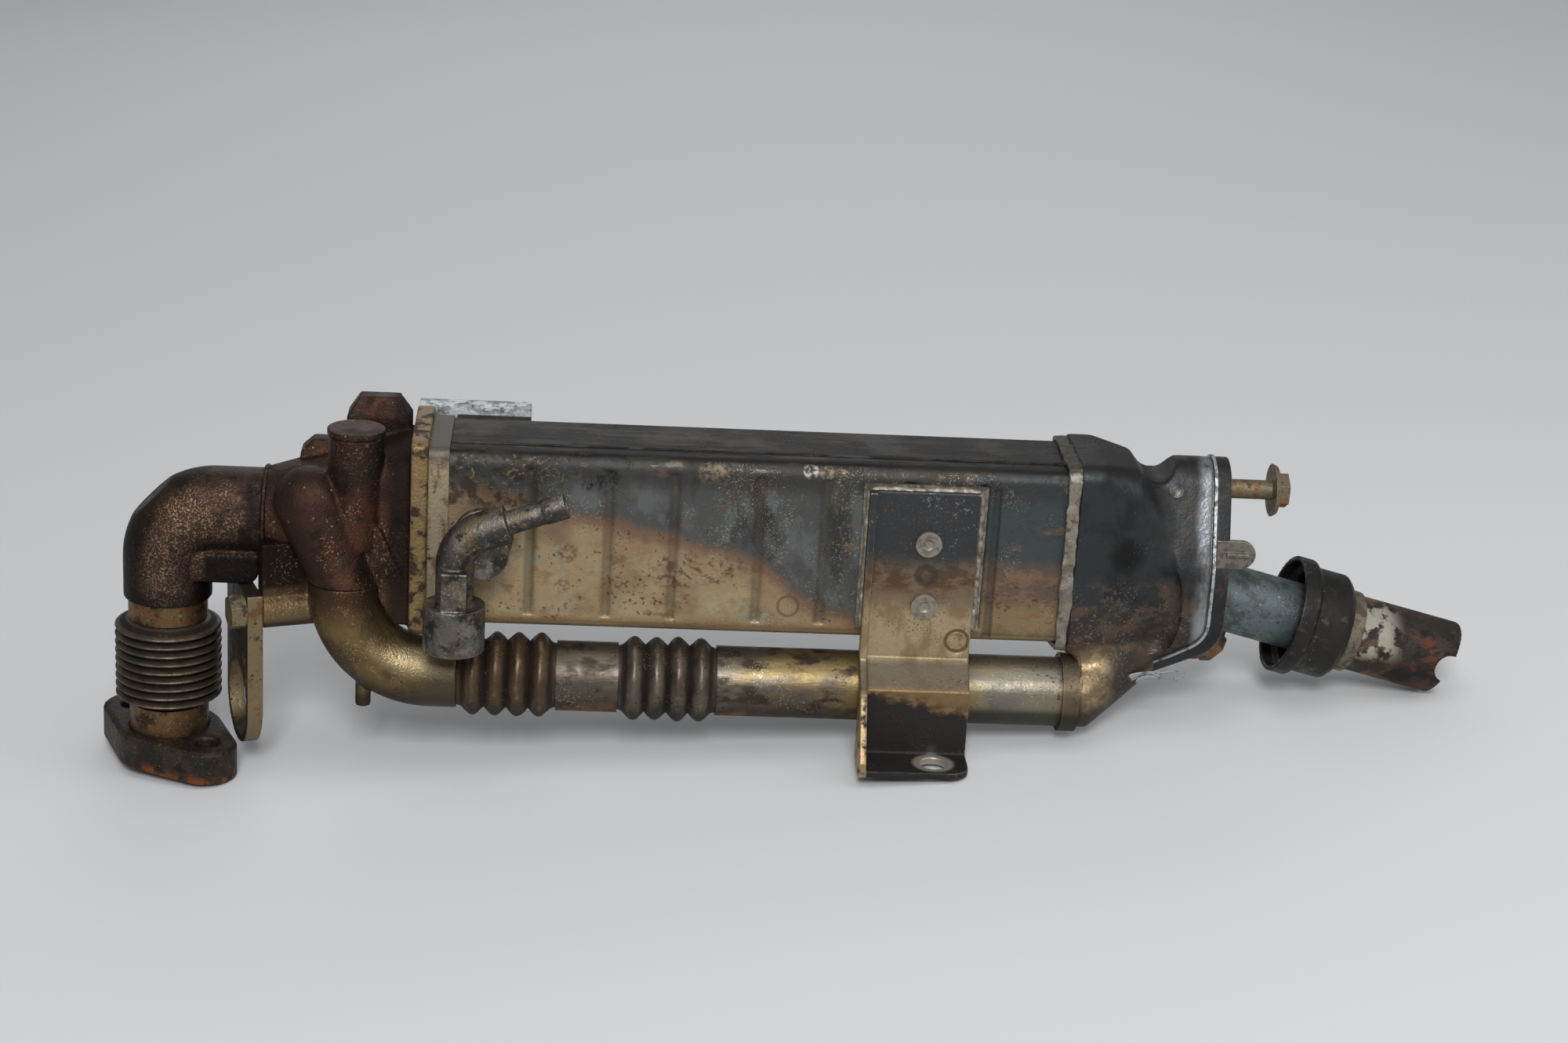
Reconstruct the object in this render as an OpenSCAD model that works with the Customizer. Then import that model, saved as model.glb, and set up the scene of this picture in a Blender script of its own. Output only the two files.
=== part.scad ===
// Exhaust gas recirculation cooler with a bellows inlet, a tube core, a bypass pipe below the core,
// a support bracket and a plug-in outlet nozzle. X runs along the core, Y to the rear and Z up.
// The origin is the centre of the inlet flange's gasket face.

/* [Layout] */
// Distance from the inlet axis to the collector flange face that carries the core
core_start_x = 106; // [96:1:130]
// Height of the core axis above the inlet gasket face
core_z = 108; // [104:1:125]
// Offset of the core axis from the inlet axis, to the rear
core_y = -3; // [-6:0.5:6]
// Radial clearance between pieces that are slid together and welded
fit = 0.1; // [0.05:0.05:0.25]

/* [Inlet flange] */
// Thickness of the inlet flange
inlet_flange_t = 14; // [10:0.5:18]
// Half width of the inlet flange across its bolt line
inlet_flange_half_w = 21.5; // [20:0.5:24]
// Radius of the lobe round each inlet bolt hole
inlet_lobe_r = 12.5; // [10:0.5:14]
// Pitch circle diameter of the two inlet bolt holes
inlet_bolt_pcd = 52; // [50:1:60]
// Angle of the inlet bolt line, seen from above
inlet_bolt_angle = -48; // [-60:1:-30]
// Diameter of the inlet bolt holes
inlet_bolt_hole_d = 10.5; // [8:0.5:12]
// Diameter of the gas bore in the inlet flange
inlet_gas_d = 27; // [22:0.5:28]
// Depth of the seat that the lower collar stands in
collar_seat = 3; // [2:0.5:5]

/* [Inlet bellows] */
// Outer radius of the two collars of the inlet bellows
collar_r = 16; // [15:0.5:17]
// Wall of the collars
collar_wall = 1.6; // [1:0.1:2]
// Height of the lower collar that shows above the flange
lower_collar_h = 11; // [8:0.5:14]
// Height of the upper collar that shows below the elbow
upper_collar_h = 9; // [6:0.5:11]
// Length of the corrugated part of the inlet bellows
bellows_len = 37; // [34:1:42]
// Number of convolutions of the inlet bellows
bellows_turns = 9; // [6:1:10]
// Crest radius of the inlet bellows
bellows_crest_r = 21.5; // [20:0.5:22]
// Root radius of the inlet bellows
bellows_root_r = 18.6; // [18:0.1:19.4]
// Sheet thickness of the bellows
bellows_wall = 0.8; // [0.6:0.1:1.2]

/* [Inlet elbow] */
// Outer radius of the inlet elbow
elbow_r = 17.8; // [17.5:0.1:18.4]
// Gas bore radius of the inlet elbow
elbow_bore_r = 14.2; // [12:0.2:15]
// Centre line radius of the inlet elbow's bend
elbow_bend_r = 20; // [19:0.5:22]
// Depth of the flat on the outside of the elbow's bend
elbow_flat = 1.8; // [0.5:0.1:2.5]
// Depth of the elbow's socket for the upper collar
elbow_socket = 8; // [5:0.5:10]
// Distance from the inlet axis to the end of the elbow
elbow_end_x = 40; // [36:1:46]

/* [Collector] */
// Outer radius of the collector's neck
neck_r = 18.5; // [18:0.1:19]
// Wall of the collector casting
casting_wall = 4; // [3:0.5:5]
// Depth of the collector's body at the core end
collector_w = 46; // [42:1:48]
// Height of the collector's body at the core end
collector_h = 70; // [66:1:72]
// Thickness of the collector's end flange
collector_flange_t = 7; // [5:0.5:9]
// Rim of the end flange outside the core, all round
collector_rim = 4; // [3:0.5:5]
// Radius of the upright boss on the collector's front
boss_r = 11; // [10:0.5:12]
// Height of the boss top above the core axis
boss_rise = 40.5; // [39:0.5:43]
// Distance from the inlet axis to the boss axis
boss_x = 77; // [75:0.5:79]
// Distance from the core axis to the boss axis, to the front
boss_front = 16; // [15:0.5:18]
// Thickness of the disc that closes the boss
boss_cap_t = 2.5; // [2:0.5:4]

/* [Side bracket] */
// Distance from the inlet axis to the side bracket's ring
side_x = 32; // [31:0.5:34]
// Turn of the side bracket about the vertical
side_turn = 19; // [14:1:22]
// Thickness of the side bracket
side_t = 6.3; // [5:0.1:7]
// Radius of the round opening in the side bracket
side_hole_r = 15.5; // [13:0.5:16]
// Width of the metal round the opening
side_ring = 3.5; // [3:0.5:4.5]
// Height of the round opening above the inlet gasket face
side_hole_z = 31; // [30:0.5:34]
// Height of the side bracket's bolt above the inlet gasket face
side_bolt_z = 73; // [70:0.5:76]
// Thread diameter of the side bracket's bolt
side_bolt_d = 8; // [6:1:8]
// Radius of the cast arm that carries the side bracket
side_arm_r = 7.4; // [6:0.1:7.6]
// Thickness of the web between the arm and the collector
side_web_t = 8; // [5:0.5:10]

/* [Core] */
// Length of the core shell
core_len = 261; // [240:1:280]
// Depth of the core shell, front to rear
core_w = 46; // [44:1:50]
// Height of the core shell
core_h = 74; // [72:1:78]
// Sheet thickness of the core shell
core_wall = 1.5; // [1.2:0.1:2]
// Radius of the front panel's folds
core_fold_r = 6; // [4:0.5:7]
// Radius of the rear shell's folds
rear_fold_r = 3; // [2.5:0.5:5]
// Depth of the front panel's top and bottom walls
front_lap = 12; // [10:0.5:18]
// Number of upright grooves pressed into the front panel
groove_count = 7; // [4:1:8]
// Even distance between the grooves
groove_pitch = 30.2; // [28:0.2:32]
// Distance from the core's inlet end to the first groove
groove_first = 40.5; // [34:0.5:46]
// Width of the grooves
groove_w = 7; // [5:0.5:10]
// Depth of the grooves
groove_depth = 1.2; // [0.8:0.1:1.6]
// Length of the collar at the core's inlet end
core_collar_len = 8; // [6:0.5:10]
// Thickness of the collar at the core's inlet end
core_collar_t = 1; // [0.8:0.1:2]
// Length of the welded band at the core's outlet end
weld_band_len = 5; // [4:0.5:8]
// Thickness of the welded band
weld_band_t = 2.5; // [2:0.1:3]
// Thickness of the two header plates
header_t = 3; // [2:0.5:4]

/* [Gas tubes] */
// Rows of gas tubes
tube_rows = 5; // [3:1:5]
// Columns of gas tubes
tube_columns = 2; // [1:1:2]
// Height of one gas tube
tube_h = 8; // [6:0.5:9]
// Width of one gas tube
tube_w = 17; // [14:0.5:18]
// Distance between the rows
tube_row_pitch = 13; // [11:0.5:13]
// Distance between the columns
tube_column_pitch = 20; // [19:0.5:20]
// Wall of the gas tubes
tube_wall = 0.6; // [0.5:0.1:0.8]

/* [Bypass pipe] */
// Outer radius of the bypass pipe
bypass_r = 14.3; // [13.5:0.1:14.8]
// Wall of the bypass pipe
bypass_wall = 1.2; // [1:0.1:1.6]
// Depth of the bypass axis below the underside of the core
bypass_drop = 21.5; // [20.5:0.5:24]
// Distance of the bypass axis in front of the core axis
bypass_front = 19; // [17:0.5:20]
// Centre line radius of the cast branch
branch_bend_r = 35; // [33:0.5:36]
// Crest radius of the bypass bellows
bypass_crest_r = 17.4; // [16.5:0.1:17.6]
// Number of convolutions of each bypass bellows
bypass_turns = 4; // [3:1:5]
// Length of one convolution of the bypass bellows
bypass_pitch = 9; // [8:0.2:9.4]
// Distance from the core's inlet end to the middle of the front bellows
front_bellows_x = 33; // [31:0.5:36]
// Distance from the core's inlet end to the middle of the rear bellows
rear_bellows_x = 98; // [90:1:110]
// Length of the ring that joins the pipe to the outlet horn
end_ring_len = 7; // [5:0.5:9]
// Thickness of that ring
end_ring_t = 1.8; // [1.4:0.1:2.4]

/* [Outlet] */
// Length of the outlet end cap
cap_len = 46; // [44:1:48]
// Sheet thickness of the outlet end cap and pan
cap_wall = 2; // [1.5:0.1:2.5]
// Distance from the core's end to the outer face of the outlet plate
outlet_reach = 63; // [61:0.5:66]
// Thickness of the outlet plate
outlet_plate_t = 6; // [5:0.5:8]
// Thickness of the metal gasket between the outlet plate and the pan
outlet_gasket_t = 1.2; // [0.8:0.1:2]
// Width of the gasket's edge that shows round the plate
outlet_gasket_proud = 0.8; // [0.4:0.1:1.2]
// Width of the outlet plate
outlet_plate_w = 50; // [46:1:54]
// Radius of the bend in the lower part of the outlet plate
sweep_r = 20; // [18:0.5:22]
// Turn of the lower part of the outlet plate
sweep_turn = 55; // [45:1:60]
// Length of the plate's straight part below its bend
sweep_len = 24; // [20:1:28]
// Height of the upper outlet bolt above the core axis
upper_bolt_rise = 26; // [25:0.5:27]
// Radius of the lobe round the upper bolt
bolt_edge = 13; // [12:0.5:15]
// Angle of the lower outlet bolt below the horizontal
lower_bolt_angle = 47; // [44:1:50]
// Thread diameter of the outlet bolts
outlet_bolt_d = 8; // [6:1:8]
// Distance from the plate to the head of the upper bolt, which is backed out
upper_bolt_proud = 19; // [4:1:22]
// Distance from the plate to the head of the lower bolt, which is backed out
lower_bolt_proud = 14; // [12:1:16]
// Outer radius of the outlet tube
outlet_tube_r = 14.2; // [13:0.1:14.6]
// Slope of the outlet tube below the horizontal
outlet_slope = 14; // [12:1:16]
// Depth of the outlet port below the core axis
port_drop = 24; // [22:0.5:26]
// Distance of the outlet port behind the core axis
port_rear = 12; // [10:0.5:13]
// Distance along the outlet tube to the mouth of the cup
cup_start = 34; // [30:1:38]
// Radius of the cup's rim
cup_rim_r = 25; // [24:0.5:26]
// Radius of the cup's body
cup_r = 22.5; // [21:0.5:23.5]
// Length of the cup
cup_len = 25; // [22:1:28]
// Outer radius of the mixing nozzle
nozzle_r = 16; // [15.6:0.1:16.6]
// Length of the mixing nozzle from the cup's floor to its tip
nozzle_len = 50; // [44:1:56]
// Slant of the nozzle's tip, from its top to its bottom
tip_slant = 6; // [2:0.5:8]
// Depth of the notches in the nozzle's tip
notch_depth = 6; // [4:0.5:9]

/* [Support bracket] */
// Distance from the core's inlet end to the bracket's left edge
bracket_x = 178; // [160:1:190]
// Width of the support bracket
bracket_w = 42; // [38:1:46]
// Sheet thickness of the support bracket
bracket_t = 3; // [2.5:0.1:3.5]
// Height of the bracket's top edge above the core axis
bracket_top = 28.5; // [26:0.5:31]
// Forward step of the bracket round the bypass pipe
bracket_step = 12; // [11.5:0.5:13]
// Depth of the bracket's foot below the core axis
foot_drop = 82.5; // [79:0.5:88]
// Length of the foot, to the front
foot_len = 22; // [20:0.5:26]
// Diameter of the hole in the foot
foot_hole_d = 11; // [8:0.5:12]
// Thickness of the doubler plate under the bracket
doubler_t = 1.5; // [1:0.1:2]
// Diameter of the rivet heads
rivet_head_d = 10.6; // [9:0.2:12]
// Diameter of the rivet shanks
rivet_d = 5; // [4:0.5:6]
// Distance between the two rivets
rivet_pitch = 26.6; // [24:0.2:30]

/* [Coolant fittings] */
// Distance from the core's inlet end to the axis of the elbow's socket
coolant_x = 12; // [11.5:0.5:14]
// Distance from the front panel to the axis of the elbow's socket
coolant_out = 20; // [19:0.5:22]
// Outer radius of the coolant socket
socket_r = 12.3; // [12:0.1:13]
// Bore diameter of the coolant socket
socket_bore_d = 19; // [17:0.5:20]
// Height of the coolant socket
socket_len = 19; // [17:0.5:22]
// Outer radius of the coolant elbow's tube
coolant_r = 7.6; // [7:0.1:8]
// Outer diameter of the hose spigot
spigot_d = 10.4; // [9:0.2:11]
// Length of the hose spigot
spigot_len = 24; // [20:0.5:28]
// Rise of the hose spigot above the horizontal
spigot_rise = 20; // [15:1:24]
// Thickness of the rear coolant flange
rear_flange_t = 8; // [7:0.5:10]
// Outer diameter of the rear hose spigot
rear_spigot_d = 20; // [18:0.5:22]
// Length of the rear hose spigot
rear_spigot_len = 26; // [20:1:30]

/* [Hidden] */
$fn = 64;
hull_fn = 32;
skin = 0.02;
cut = 1;
thread_fit = 0.05;
head_height = 0.7;

core_end_x = core_start_x + core_len;
core_front = core_y - core_w / 2;
core_rear = core_y + core_w / 2;
core_top = core_z + core_h / 2;
bypass_y = core_y - bypass_front;
bypass_half = bypass_turns * bypass_pitch / 2 + 2;
cuff_len = 6;
bypass_z = core_z - core_h / 2 - bypass_drop;

cuff_r = collar_r - collar_wall - fit;
bellows_z = inlet_flange_t + lower_collar_h;
bellows_top = bellows_z + bellows_len;
elbow_z = bellows_top + upper_collar_h;
elbow_bend_z = core_z - elbow_bend_r;

collector_end = core_start_x - collector_flange_t;
boss_y = core_y - boss_front;
boss_top = core_z + boss_rise;
branch_x = core_start_x + 2 - branch_bend_r;
branch_upright = 3.5;
branch_top = bypass_z + branch_bend_r + branch_upright;
groove_shift = [0, 1, -3, 1, -3, 0, 0];
passage_lean = 14;
passage_rise = 32;
corner_r = 10;
flange_corner_r = 5;
boss_foot = 6;
boss_bore = 12;
lug_offset = [7, 17, 20];
lug_foot = [26, 14, 19];
lug_top = [16, 8, 27];
lump_offset = [22, 11, 0];
lump_foot = [18, 12, 25];
lump_top = [12, 8, 30];
branch_end = core_start_x + front_bellows_x - bypass_half;

side_y = -9;
side_half_w = side_hole_r + side_ring;
side_top = side_bolt_z + 8;
side_bolt_y = 6 - side_half_w;
side_arm_len = 34;
side_web_start = side_t / 2 + fit;
elbow_gusset_t = 12;
elbow_gusset_y = -8;
elbow_gusset_r = 5;
elbow_gusset_low = side_top + 0.4;
elbow_gusset_end = elbow_end_x - 2;

cap_start = core_end_x - 1;
cap_end = core_end_x + cap_len;
ring_r = bypass_r + fit + end_ring_t;
horn_start = core_end_x + end_ring_len - 2;
horn_mouth = 5;
horn_back = 11;
horn_rise = 21;
gasket_land = 7;
plate_end = core_end_x + outlet_reach;
plate_start = plate_end - outlet_plate_t;
plate_top = core_z + upper_bolt_rise + bolt_edge;
port_y = core_y + port_rear;
port_z = core_z - port_drop;
upper_bolt = [core_y, core_z + upper_bolt_rise];
lower_bolt_y = port_y + 9;
cup_wall = 2;
cup_floor = cup_start + cup_len;

bracket_left = core_start_x + bracket_x;
plate_back = core_front - doubler_t;
leg_back = plate_back - bracket_step;
foot_z = core_z - foot_drop;
step_top = bypass_z + bypass_r + 2;
step_bottom = step_top - 10;
rivet_inset = 22;
rivet_x = bracket_left + rivet_inset;
rivet_z = core_z + 7;

socket_x = core_start_x + coolant_x;
socket_y = core_front - coolant_out;
socket_z = core_z - 38.5;
spigot_bend_r = 15;
spigot_neck = 0.4;
spigot_tip = 9;
spigot_turn = 90 - spigot_rise;
spigot_bend_z = core_z - 3;
coolant_bore_r = spigot_d / 2 - 1.5;
boss_port = [socket_x + 10, core_z + 2];
boss_port_r = 12;
coolant_port_r = 6.5;
rear_pad_w = 30;
rear_pad_h = 36;
rear_pad_t = 5;
rear_gasket_t = 1;
rear_screw_d = 5;
rear_screw_inset = 5;
rear_screw_w = rear_pad_w / 2 - rear_screw_inset;
rear_screw_h = rear_pad_h / 2 - rear_screw_inset;
rear_port_x = core_start_x + core_collar_len + 1 + rear_pad_w / 2;
rear_port_drop = 19;
rear_port_z = core_top - rear_port_drop;
rear_flange_over = 8;
rear_flange_y = core_rear + rear_pad_t + rear_gasket_t;
rear_bore_r = rear_spigot_d / 2 - 2.5;

// A cylinder that runs along +X from the given point
module bar_x(x, y, z, length, r) {
    translate([x, y, z]) rotate([0, 90, 0]) cylinder(h = length, r = r);
}

// A cylinder that runs along +Y from the given point
module bar_y(x, y, z, length, r) {
    translate([x, y, z]) rotate([-90, 0, 0]) cylinder(h = length, r = r);
}

// A straight tube along +X
module tube_x(x, y, z, length, r, wall) {
    difference() {
        bar_x(x, y, z, length, r);
        bar_x(x - cut, y, z, length + 2 * cut, r - wall);
    }
}

// Part of a bent tube or bar, turned about Z, from +X towards +Y
module bend(centre_r, turn, r) {
    rotate_extrude(angle = turn) translate([centre_r, 0]) circle(r);
}

// A thin disc across X, used as the corner of a hull
module disc_x(x, y, z, r, t = skin) {
    translate([x, y, z]) rotate([0, 90, 0]) cylinder(h = t, r = r, $fn = hull_fn);
}

// Four thin discs at the corners of an upright section w deep and h high
module section_x(x, y, z, w, h, r, t = skin) {
    for (side = [-1, 1], level = [-1, 1])
        disc_x(x, y + side * (w / 2 - r), z + level * (h / 2 - r), r, t);
}

// Points of an arc round a centre, from one angle to another
function arc(centre, r, from, to, steps = 6) =
    [for (i = [0:steps])
        let (a = from + (to - from) * i / steps)
            [centre[0] + r * cos(a), centre[1] + r * sin(a)]];

// Points of a rectangle w wide and h high with rounded corners, about its centre
function rounded_points(w, h, r) =
    concat(arc([w / 2 - r, h / 2 - r], r, 0, 90), arc([r - w / 2, h / 2 - r], r, 90, 180),
        arc([r - w / 2, r - h / 2], r, 180, 270), arc([w / 2 - r, r - h / 2], r, 270, 360));

// Stands a profile drawn in Y and Z upright and runs it along +X
module along_x(x, length) {
    translate([x, 0, 0]) rotate([90, 0, 90]) linear_extrude(length) children();
}

// A block along X with rounded long edges
module rounded_block(x, y, z, length, w, h, r) {
    along_x(x, length) translate([y, z]) polygon(rounded_points(w, h, r));
}

// A frame of the given wall round a rounded block
module rounded_frame(x, y, z, length, w, h, r, wall) {
    along_x(x, length) translate([y, z]) difference() {
        polygon(rounded_points(w, h, r));
        polygon(rounded_points(w - 2 * wall, h - 2 * wall, r - wall));
    }
}

// Outline of one side of a corrugated wall: radius against length, with cuffs of the given radius
function corrugation(start, turns, pitch, root, crest, steps = 8) =
    [for (i = [0:turns * steps])
        [(root + crest) / 2 - (crest - root) / 2 * cos(360 * i / steps), start + pitch * i / steps]];

// Corrugated tube on Z with a straight cuff at each end
module bellows_tube(length, turns, root, crest, cuff, cuff_in, cuff_out, wall) {
    outer = concat([[cuff, -cuff_in], [cuff, 0]],
        corrugation(2, turns, (length - 4) / turns, root, crest),
        [[cuff, length], [cuff, length + cuff_out]]);
    inner = [for (i = [len(outer) - 1:-1:0]) [outer[i][0] - wall, outer[i][1]]];
    rotate_extrude() polygon(concat(outer, inner));
}

// A hexagon-head bolt on Z, head up, with its seat at z = 0 and a flange under the head
module flanged_bolt(d, shank, flange_d, flange_t) {
    translate([0, 0, -shank]) cylinder(h = shank + flange_t / 2, d = d);
    cylinder(h = flange_t, d1 = flange_d, d2 = flange_d - flange_t);
    translate([0, 0, flange_t / 2]) cylinder(h = d * head_height, d = 1.85 * d, $fn = 6);
}

// The outline of the inlet flange, drawn in by an inset
module inlet_outline(inset) {
    hull() {
        circle(inlet_flange_half_w - inset, $fn = hull_fn * 2);
        for (side = [-1, 1])
            rotate(inlet_bolt_angle) translate([side * inlet_bolt_pcd / 2, 0])
                circle(inlet_lobe_r - inset, $fn = hull_fn);
    }
}

module inlet_flange() {
    color([0.25, 0.2, 0.17]) difference() {
        union() {
            linear_extrude(inlet_flange_t - 1) inlet_outline(0);
            linear_extrude(inlet_flange_t) inlet_outline(1);
        }
        translate([0, 0, -cut]) cylinder(h = inlet_flange_t + 2 * cut, d = inlet_gas_d);
        translate([0, 0, inlet_flange_t - collar_seat])
            cylinder(h = collar_seat + cut, r = collar_r + fit);
        for (side = [-1, 1])
            rotate(inlet_bolt_angle) translate([side * inlet_bolt_pcd / 2, 0, 0]) {
                translate([0, 0, -cut]) cylinder(h = inlet_flange_t + 2 * cut, d = inlet_bolt_hole_d);
                translate([0, 0, inlet_flange_t - 1])
                    cylinder(h = 1 + skin, d1 = inlet_bolt_hole_d, d2 = inlet_bolt_hole_d + 2);
            }
    }
}

// A plain ring on Z
module collar_ring(z, h, r, wall) {
    translate([0, 0, z]) difference() {
        cylinder(h = h, r = r);
        translate([0, 0, -cut]) cylinder(h = h + 2 * cut, r = r - wall);
    }
}

module inlet_lower_collar() {
    color([0.5, 0.36, 0.2])
        collar_ring(inlet_flange_t - collar_seat, lower_collar_h + collar_seat, collar_r, collar_wall);
}

module inlet_bellows() {
    color([0.4, 0.36, 0.33]) translate([0, 0, bellows_z])
        bellows_tube(bellows_len, bellows_turns, bellows_root_r, bellows_crest_r, cuff_r,
            lower_collar_h, upper_collar_h, bellows_wall);
}

module inlet_upper_collar() {
    color([0.5, 0.4, 0.27])
        collar_ring(bellows_top, upper_collar_h + elbow_socket, collar_r, collar_wall);
}

// The solid of the inlet elbow at a radius: upright leg, bend and level leg
module elbow_path(r, extra) {
    translate([0, 0, elbow_z - extra]) cylinder(h = elbow_bend_z - elbow_z + extra, r = r);
    translate([elbow_bend_r, 0, elbow_bend_z]) rotate([90, 0, 0]) rotate([0, 0, 90])
        bend(elbow_bend_r, 90, r);
    bar_x(elbow_bend_r, 0, core_z, elbow_end_x - elbow_bend_r + extra, r);
}

// Cast gusset that fills the elbow's inner corner over the side bracket
module elbow_gusset() {
    rise = core_z - elbow_bore_r - elbow_gusset_low;
    translate([0, elbow_gusset_y + elbow_gusset_t / 2, elbow_gusset_low]) rotate([90, 0, 0])
        linear_extrude(elbow_gusset_t) union() {
            translate([elbow_r / 2, 0]) square([elbow_gusset_end - elbow_gusset_r - elbow_r / 2, rise]);
            translate([elbow_gusset_end - elbow_gusset_r, elbow_gusset_r])
                square([elbow_gusset_r, rise - elbow_gusset_r]);
            translate([elbow_gusset_end - elbow_gusset_r, elbow_gusset_r]) circle(elbow_gusset_r);
        }
}

module inlet_elbow() {
    color([0.2, 0.15, 0.12]) difference() {
        union() {
            elbow_path(elbow_r, 0);
            elbow_gusset();
        }
        elbow_path(elbow_bore_r, cut);
        translate([0, 0, elbow_z - cut]) cylinder(h = elbow_socket + fit + cut, r = collar_r + fit);
        translate([elbow_bend_r, -elbow_r - cut, elbow_bend_z]) rotate([0, -45, 0])
            translate([elbow_r, 0, elbow_bend_r + elbow_r - elbow_flat]) mirror([1, 0, 0])
                cube([2 * elbow_r, 2 * (elbow_r + cut), 20]);
    }
}

// The cast passage at a radius, from the collector's front down to the bypass branch
module passage(r) {
    hull() {
        translate([branch_x, bypass_y, branch_top]) cylinder(h = skin, r = r, $fn = hull_fn);
        translate([branch_x - passage_lean, bypass_y + 2, branch_top + passage_rise])
            sphere(r, $fn = hull_fn);
    }
}

// The collector body from its round neck to the core end, drawn in by a wall
module collector_body(wall, extra) {
    hull() {
        disc_x(elbow_end_x - extra, 0, core_z, neck_r - wall);
        section_x(collector_end + extra, core_y, core_z, collector_w - 2 * wall, collector_h - 2 * wall,
            corner_r - wall / 2);
    }
}

module collector_housing() {
    opening_w = collector_w - 2 * casting_wall;
    opening_h = collector_h - 2 * casting_wall;
    color([0.3, 0.2, 0.15]) difference() {
        union() {
            collector_body(0, 0);
            rounded_block(collector_end, core_y, core_z, collector_flange_t,
                core_w + 2 * collector_rim, core_h + 2 * collector_rim, flange_corner_r);
            passage(bypass_r);
            translate([boss_x, boss_y, core_z - boss_foot]) cylinder(h = boss_rise + boss_foot, r = boss_r);
            collector_rib();
            cast_pad([boss_x, core_y, core_z] + lug_offset, lug_foot, lug_top, 0);
            cast_pad([elbow_end_x, core_y, core_z] + lump_offset, lump_foot, lump_top, 2);
        }
        collector_body(casting_wall, skin);
        passage(bypass_r - casting_wall / 2);
        translate([branch_x, bypass_y, branch_top - cut])
            cylinder(h = cut + 2, r = bypass_r - casting_wall / 2);
        translate([collector_end - cut, core_y - opening_w / 2, core_z - opening_h / 2])
            cube([collector_flange_t + 2 * cut, opening_w, opening_h]);
        translate([boss_x, boss_y, boss_top - boss_bore])
            cylinder(h = boss_bore + cut, r = boss_r - casting_wall);
    }
}

// Slanting rib from the boss to the lower corner of the end flange
module collector_rib() {
    rib_front = boss_y - boss_r + 2;
    difference() {
        along_y(rib_front + 1, 8)
            polygon([[boss_x - boss_r + 3, core_z + 4], [boss_x + boss_r - 1, core_z + 4],
                [collector_end + 1, core_z - 24], [collector_end + 1, core_z - core_h / 2],
                [collector_end - 6, core_z - core_h / 2]]);
        branch_path(bypass_r + fit, 0);
    }
}

// A cast pad with sloping sides: a low block with a smaller, taller block hulled onto it
module cast_pad(place, foot, top, lean) {
    translate(place) hull() {
        translate([-foot[0] / 2, -foot[1] / 2, 0]) cube(foot);
        translate([lean - top[0] / 2, -top[1] / 2, 0]) cube(top);
    }
}

module boss_cap() {
    color([0.3, 0.24, 0.2]) translate([boss_x, boss_y, boss_top]) {
        cylinder(h = boss_cap_t, r = boss_r + 0.5);
        translate([0, 0, -6]) cylinder(h = 6, r = boss_r - casting_wall - fit);
    }
}

// Puts its children in the side bracket's own frame: X through the plate, Y to the rear
module on_side_bracket() {
    translate([side_x, side_y, 0]) rotate([0, 0, side_turn]) children();
}

module side_bracket() {
    color([0.45, 0.38, 0.26]) on_side_bracket() difference() {
        rotate([90, 0, 90]) translate([0, 0, -side_t / 2]) linear_extrude(side_t) union() {
            translate([0, side_hole_z]) circle(side_half_w);
            translate([-side_half_w, side_hole_z]) square([2 * side_half_w, side_top - side_hole_z]);
        }
        bar_x(-side_t, 0, side_hole_z, 2 * side_t, side_hole_r);
        bar_x(-side_t, side_bolt_y, side_bolt_z, 2 * side_t, side_bolt_d / 2 + fit);
    }
}

module side_bracket_bolt() {
    color([0.4, 0.27, 0.2]) on_side_bracket() translate([-side_t / 2, side_bolt_y, side_bolt_z])
        rotate([0, -90, 0]) flanged_bolt(side_bolt_d, side_t + 12, 1.7 * side_bolt_d, 1.5);
}

module core_inlet_collar() {
    color([0.55, 0.52, 0.47])
        rounded_frame(core_start_x, core_y, core_z, core_collar_len, core_w + 2 * core_collar_t + 2 * fit,
            core_h + 2 * core_collar_t + 2 * fit, rear_fold_r + core_collar_t, core_collar_t);
}

// Distance of a groove from the core's inlet end: some stand off the even pitch
function groove_place(g) =
    groove_first + g * groove_pitch + (g < len(groove_shift) ? groove_shift[g] : 0);

// Plan outline of the grooved front panel: outer line, then inner line one sheet behind it
module grooved_panel_plan(x0, x1) {
    line = concat([[x0, 0]],
        [for (g = [0:groove_count - 1], k = [-3:3])
            [core_start_x + groove_place(g) + groove_w * k / 6, groove_depth * (1 + cos(60 * k)) / 2]],
        [[x1, 0]]);
    back = [for (i = [len(line) - 1:-1:0]) [line[i][0], line[i][1] + core_wall]];
    polygon(concat(line, back));
}

// End view of one lapped fold of the front panel, in Y and Z, for the upper edge
function fold_points(lap) =
    concat(arc([core_front + core_fold_r, core_h / 2 - core_fold_r], core_fold_r, 180, 90),
        [[core_front + lap, core_h / 2], [core_front + lap, core_h / 2 - core_wall]],
        arc([core_front + core_fold_r, core_h / 2 - core_fold_r], core_fold_r - core_wall, 90, 180));

module core_front_shell() {
    panel_h = core_h - 2 * core_fold_r;
    color([0.32, 0.3, 0.27]) {
        difference() {
            translate([0, core_front, core_z - panel_h / 2]) linear_extrude(panel_h)
                grooved_panel_plan(core_start_x, core_end_x);
            bar_y(boss_port[0], core_front - cut, boss_port[1], core_wall + 2 * cut, coolant_port_r);
        }
        for (level = [-1, 1]) along_x(core_start_x, core_len) translate([0, core_z])
            polygon([for (p = fold_points(front_lap)) [p[0], level * p[1]]]);
    }
}

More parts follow.
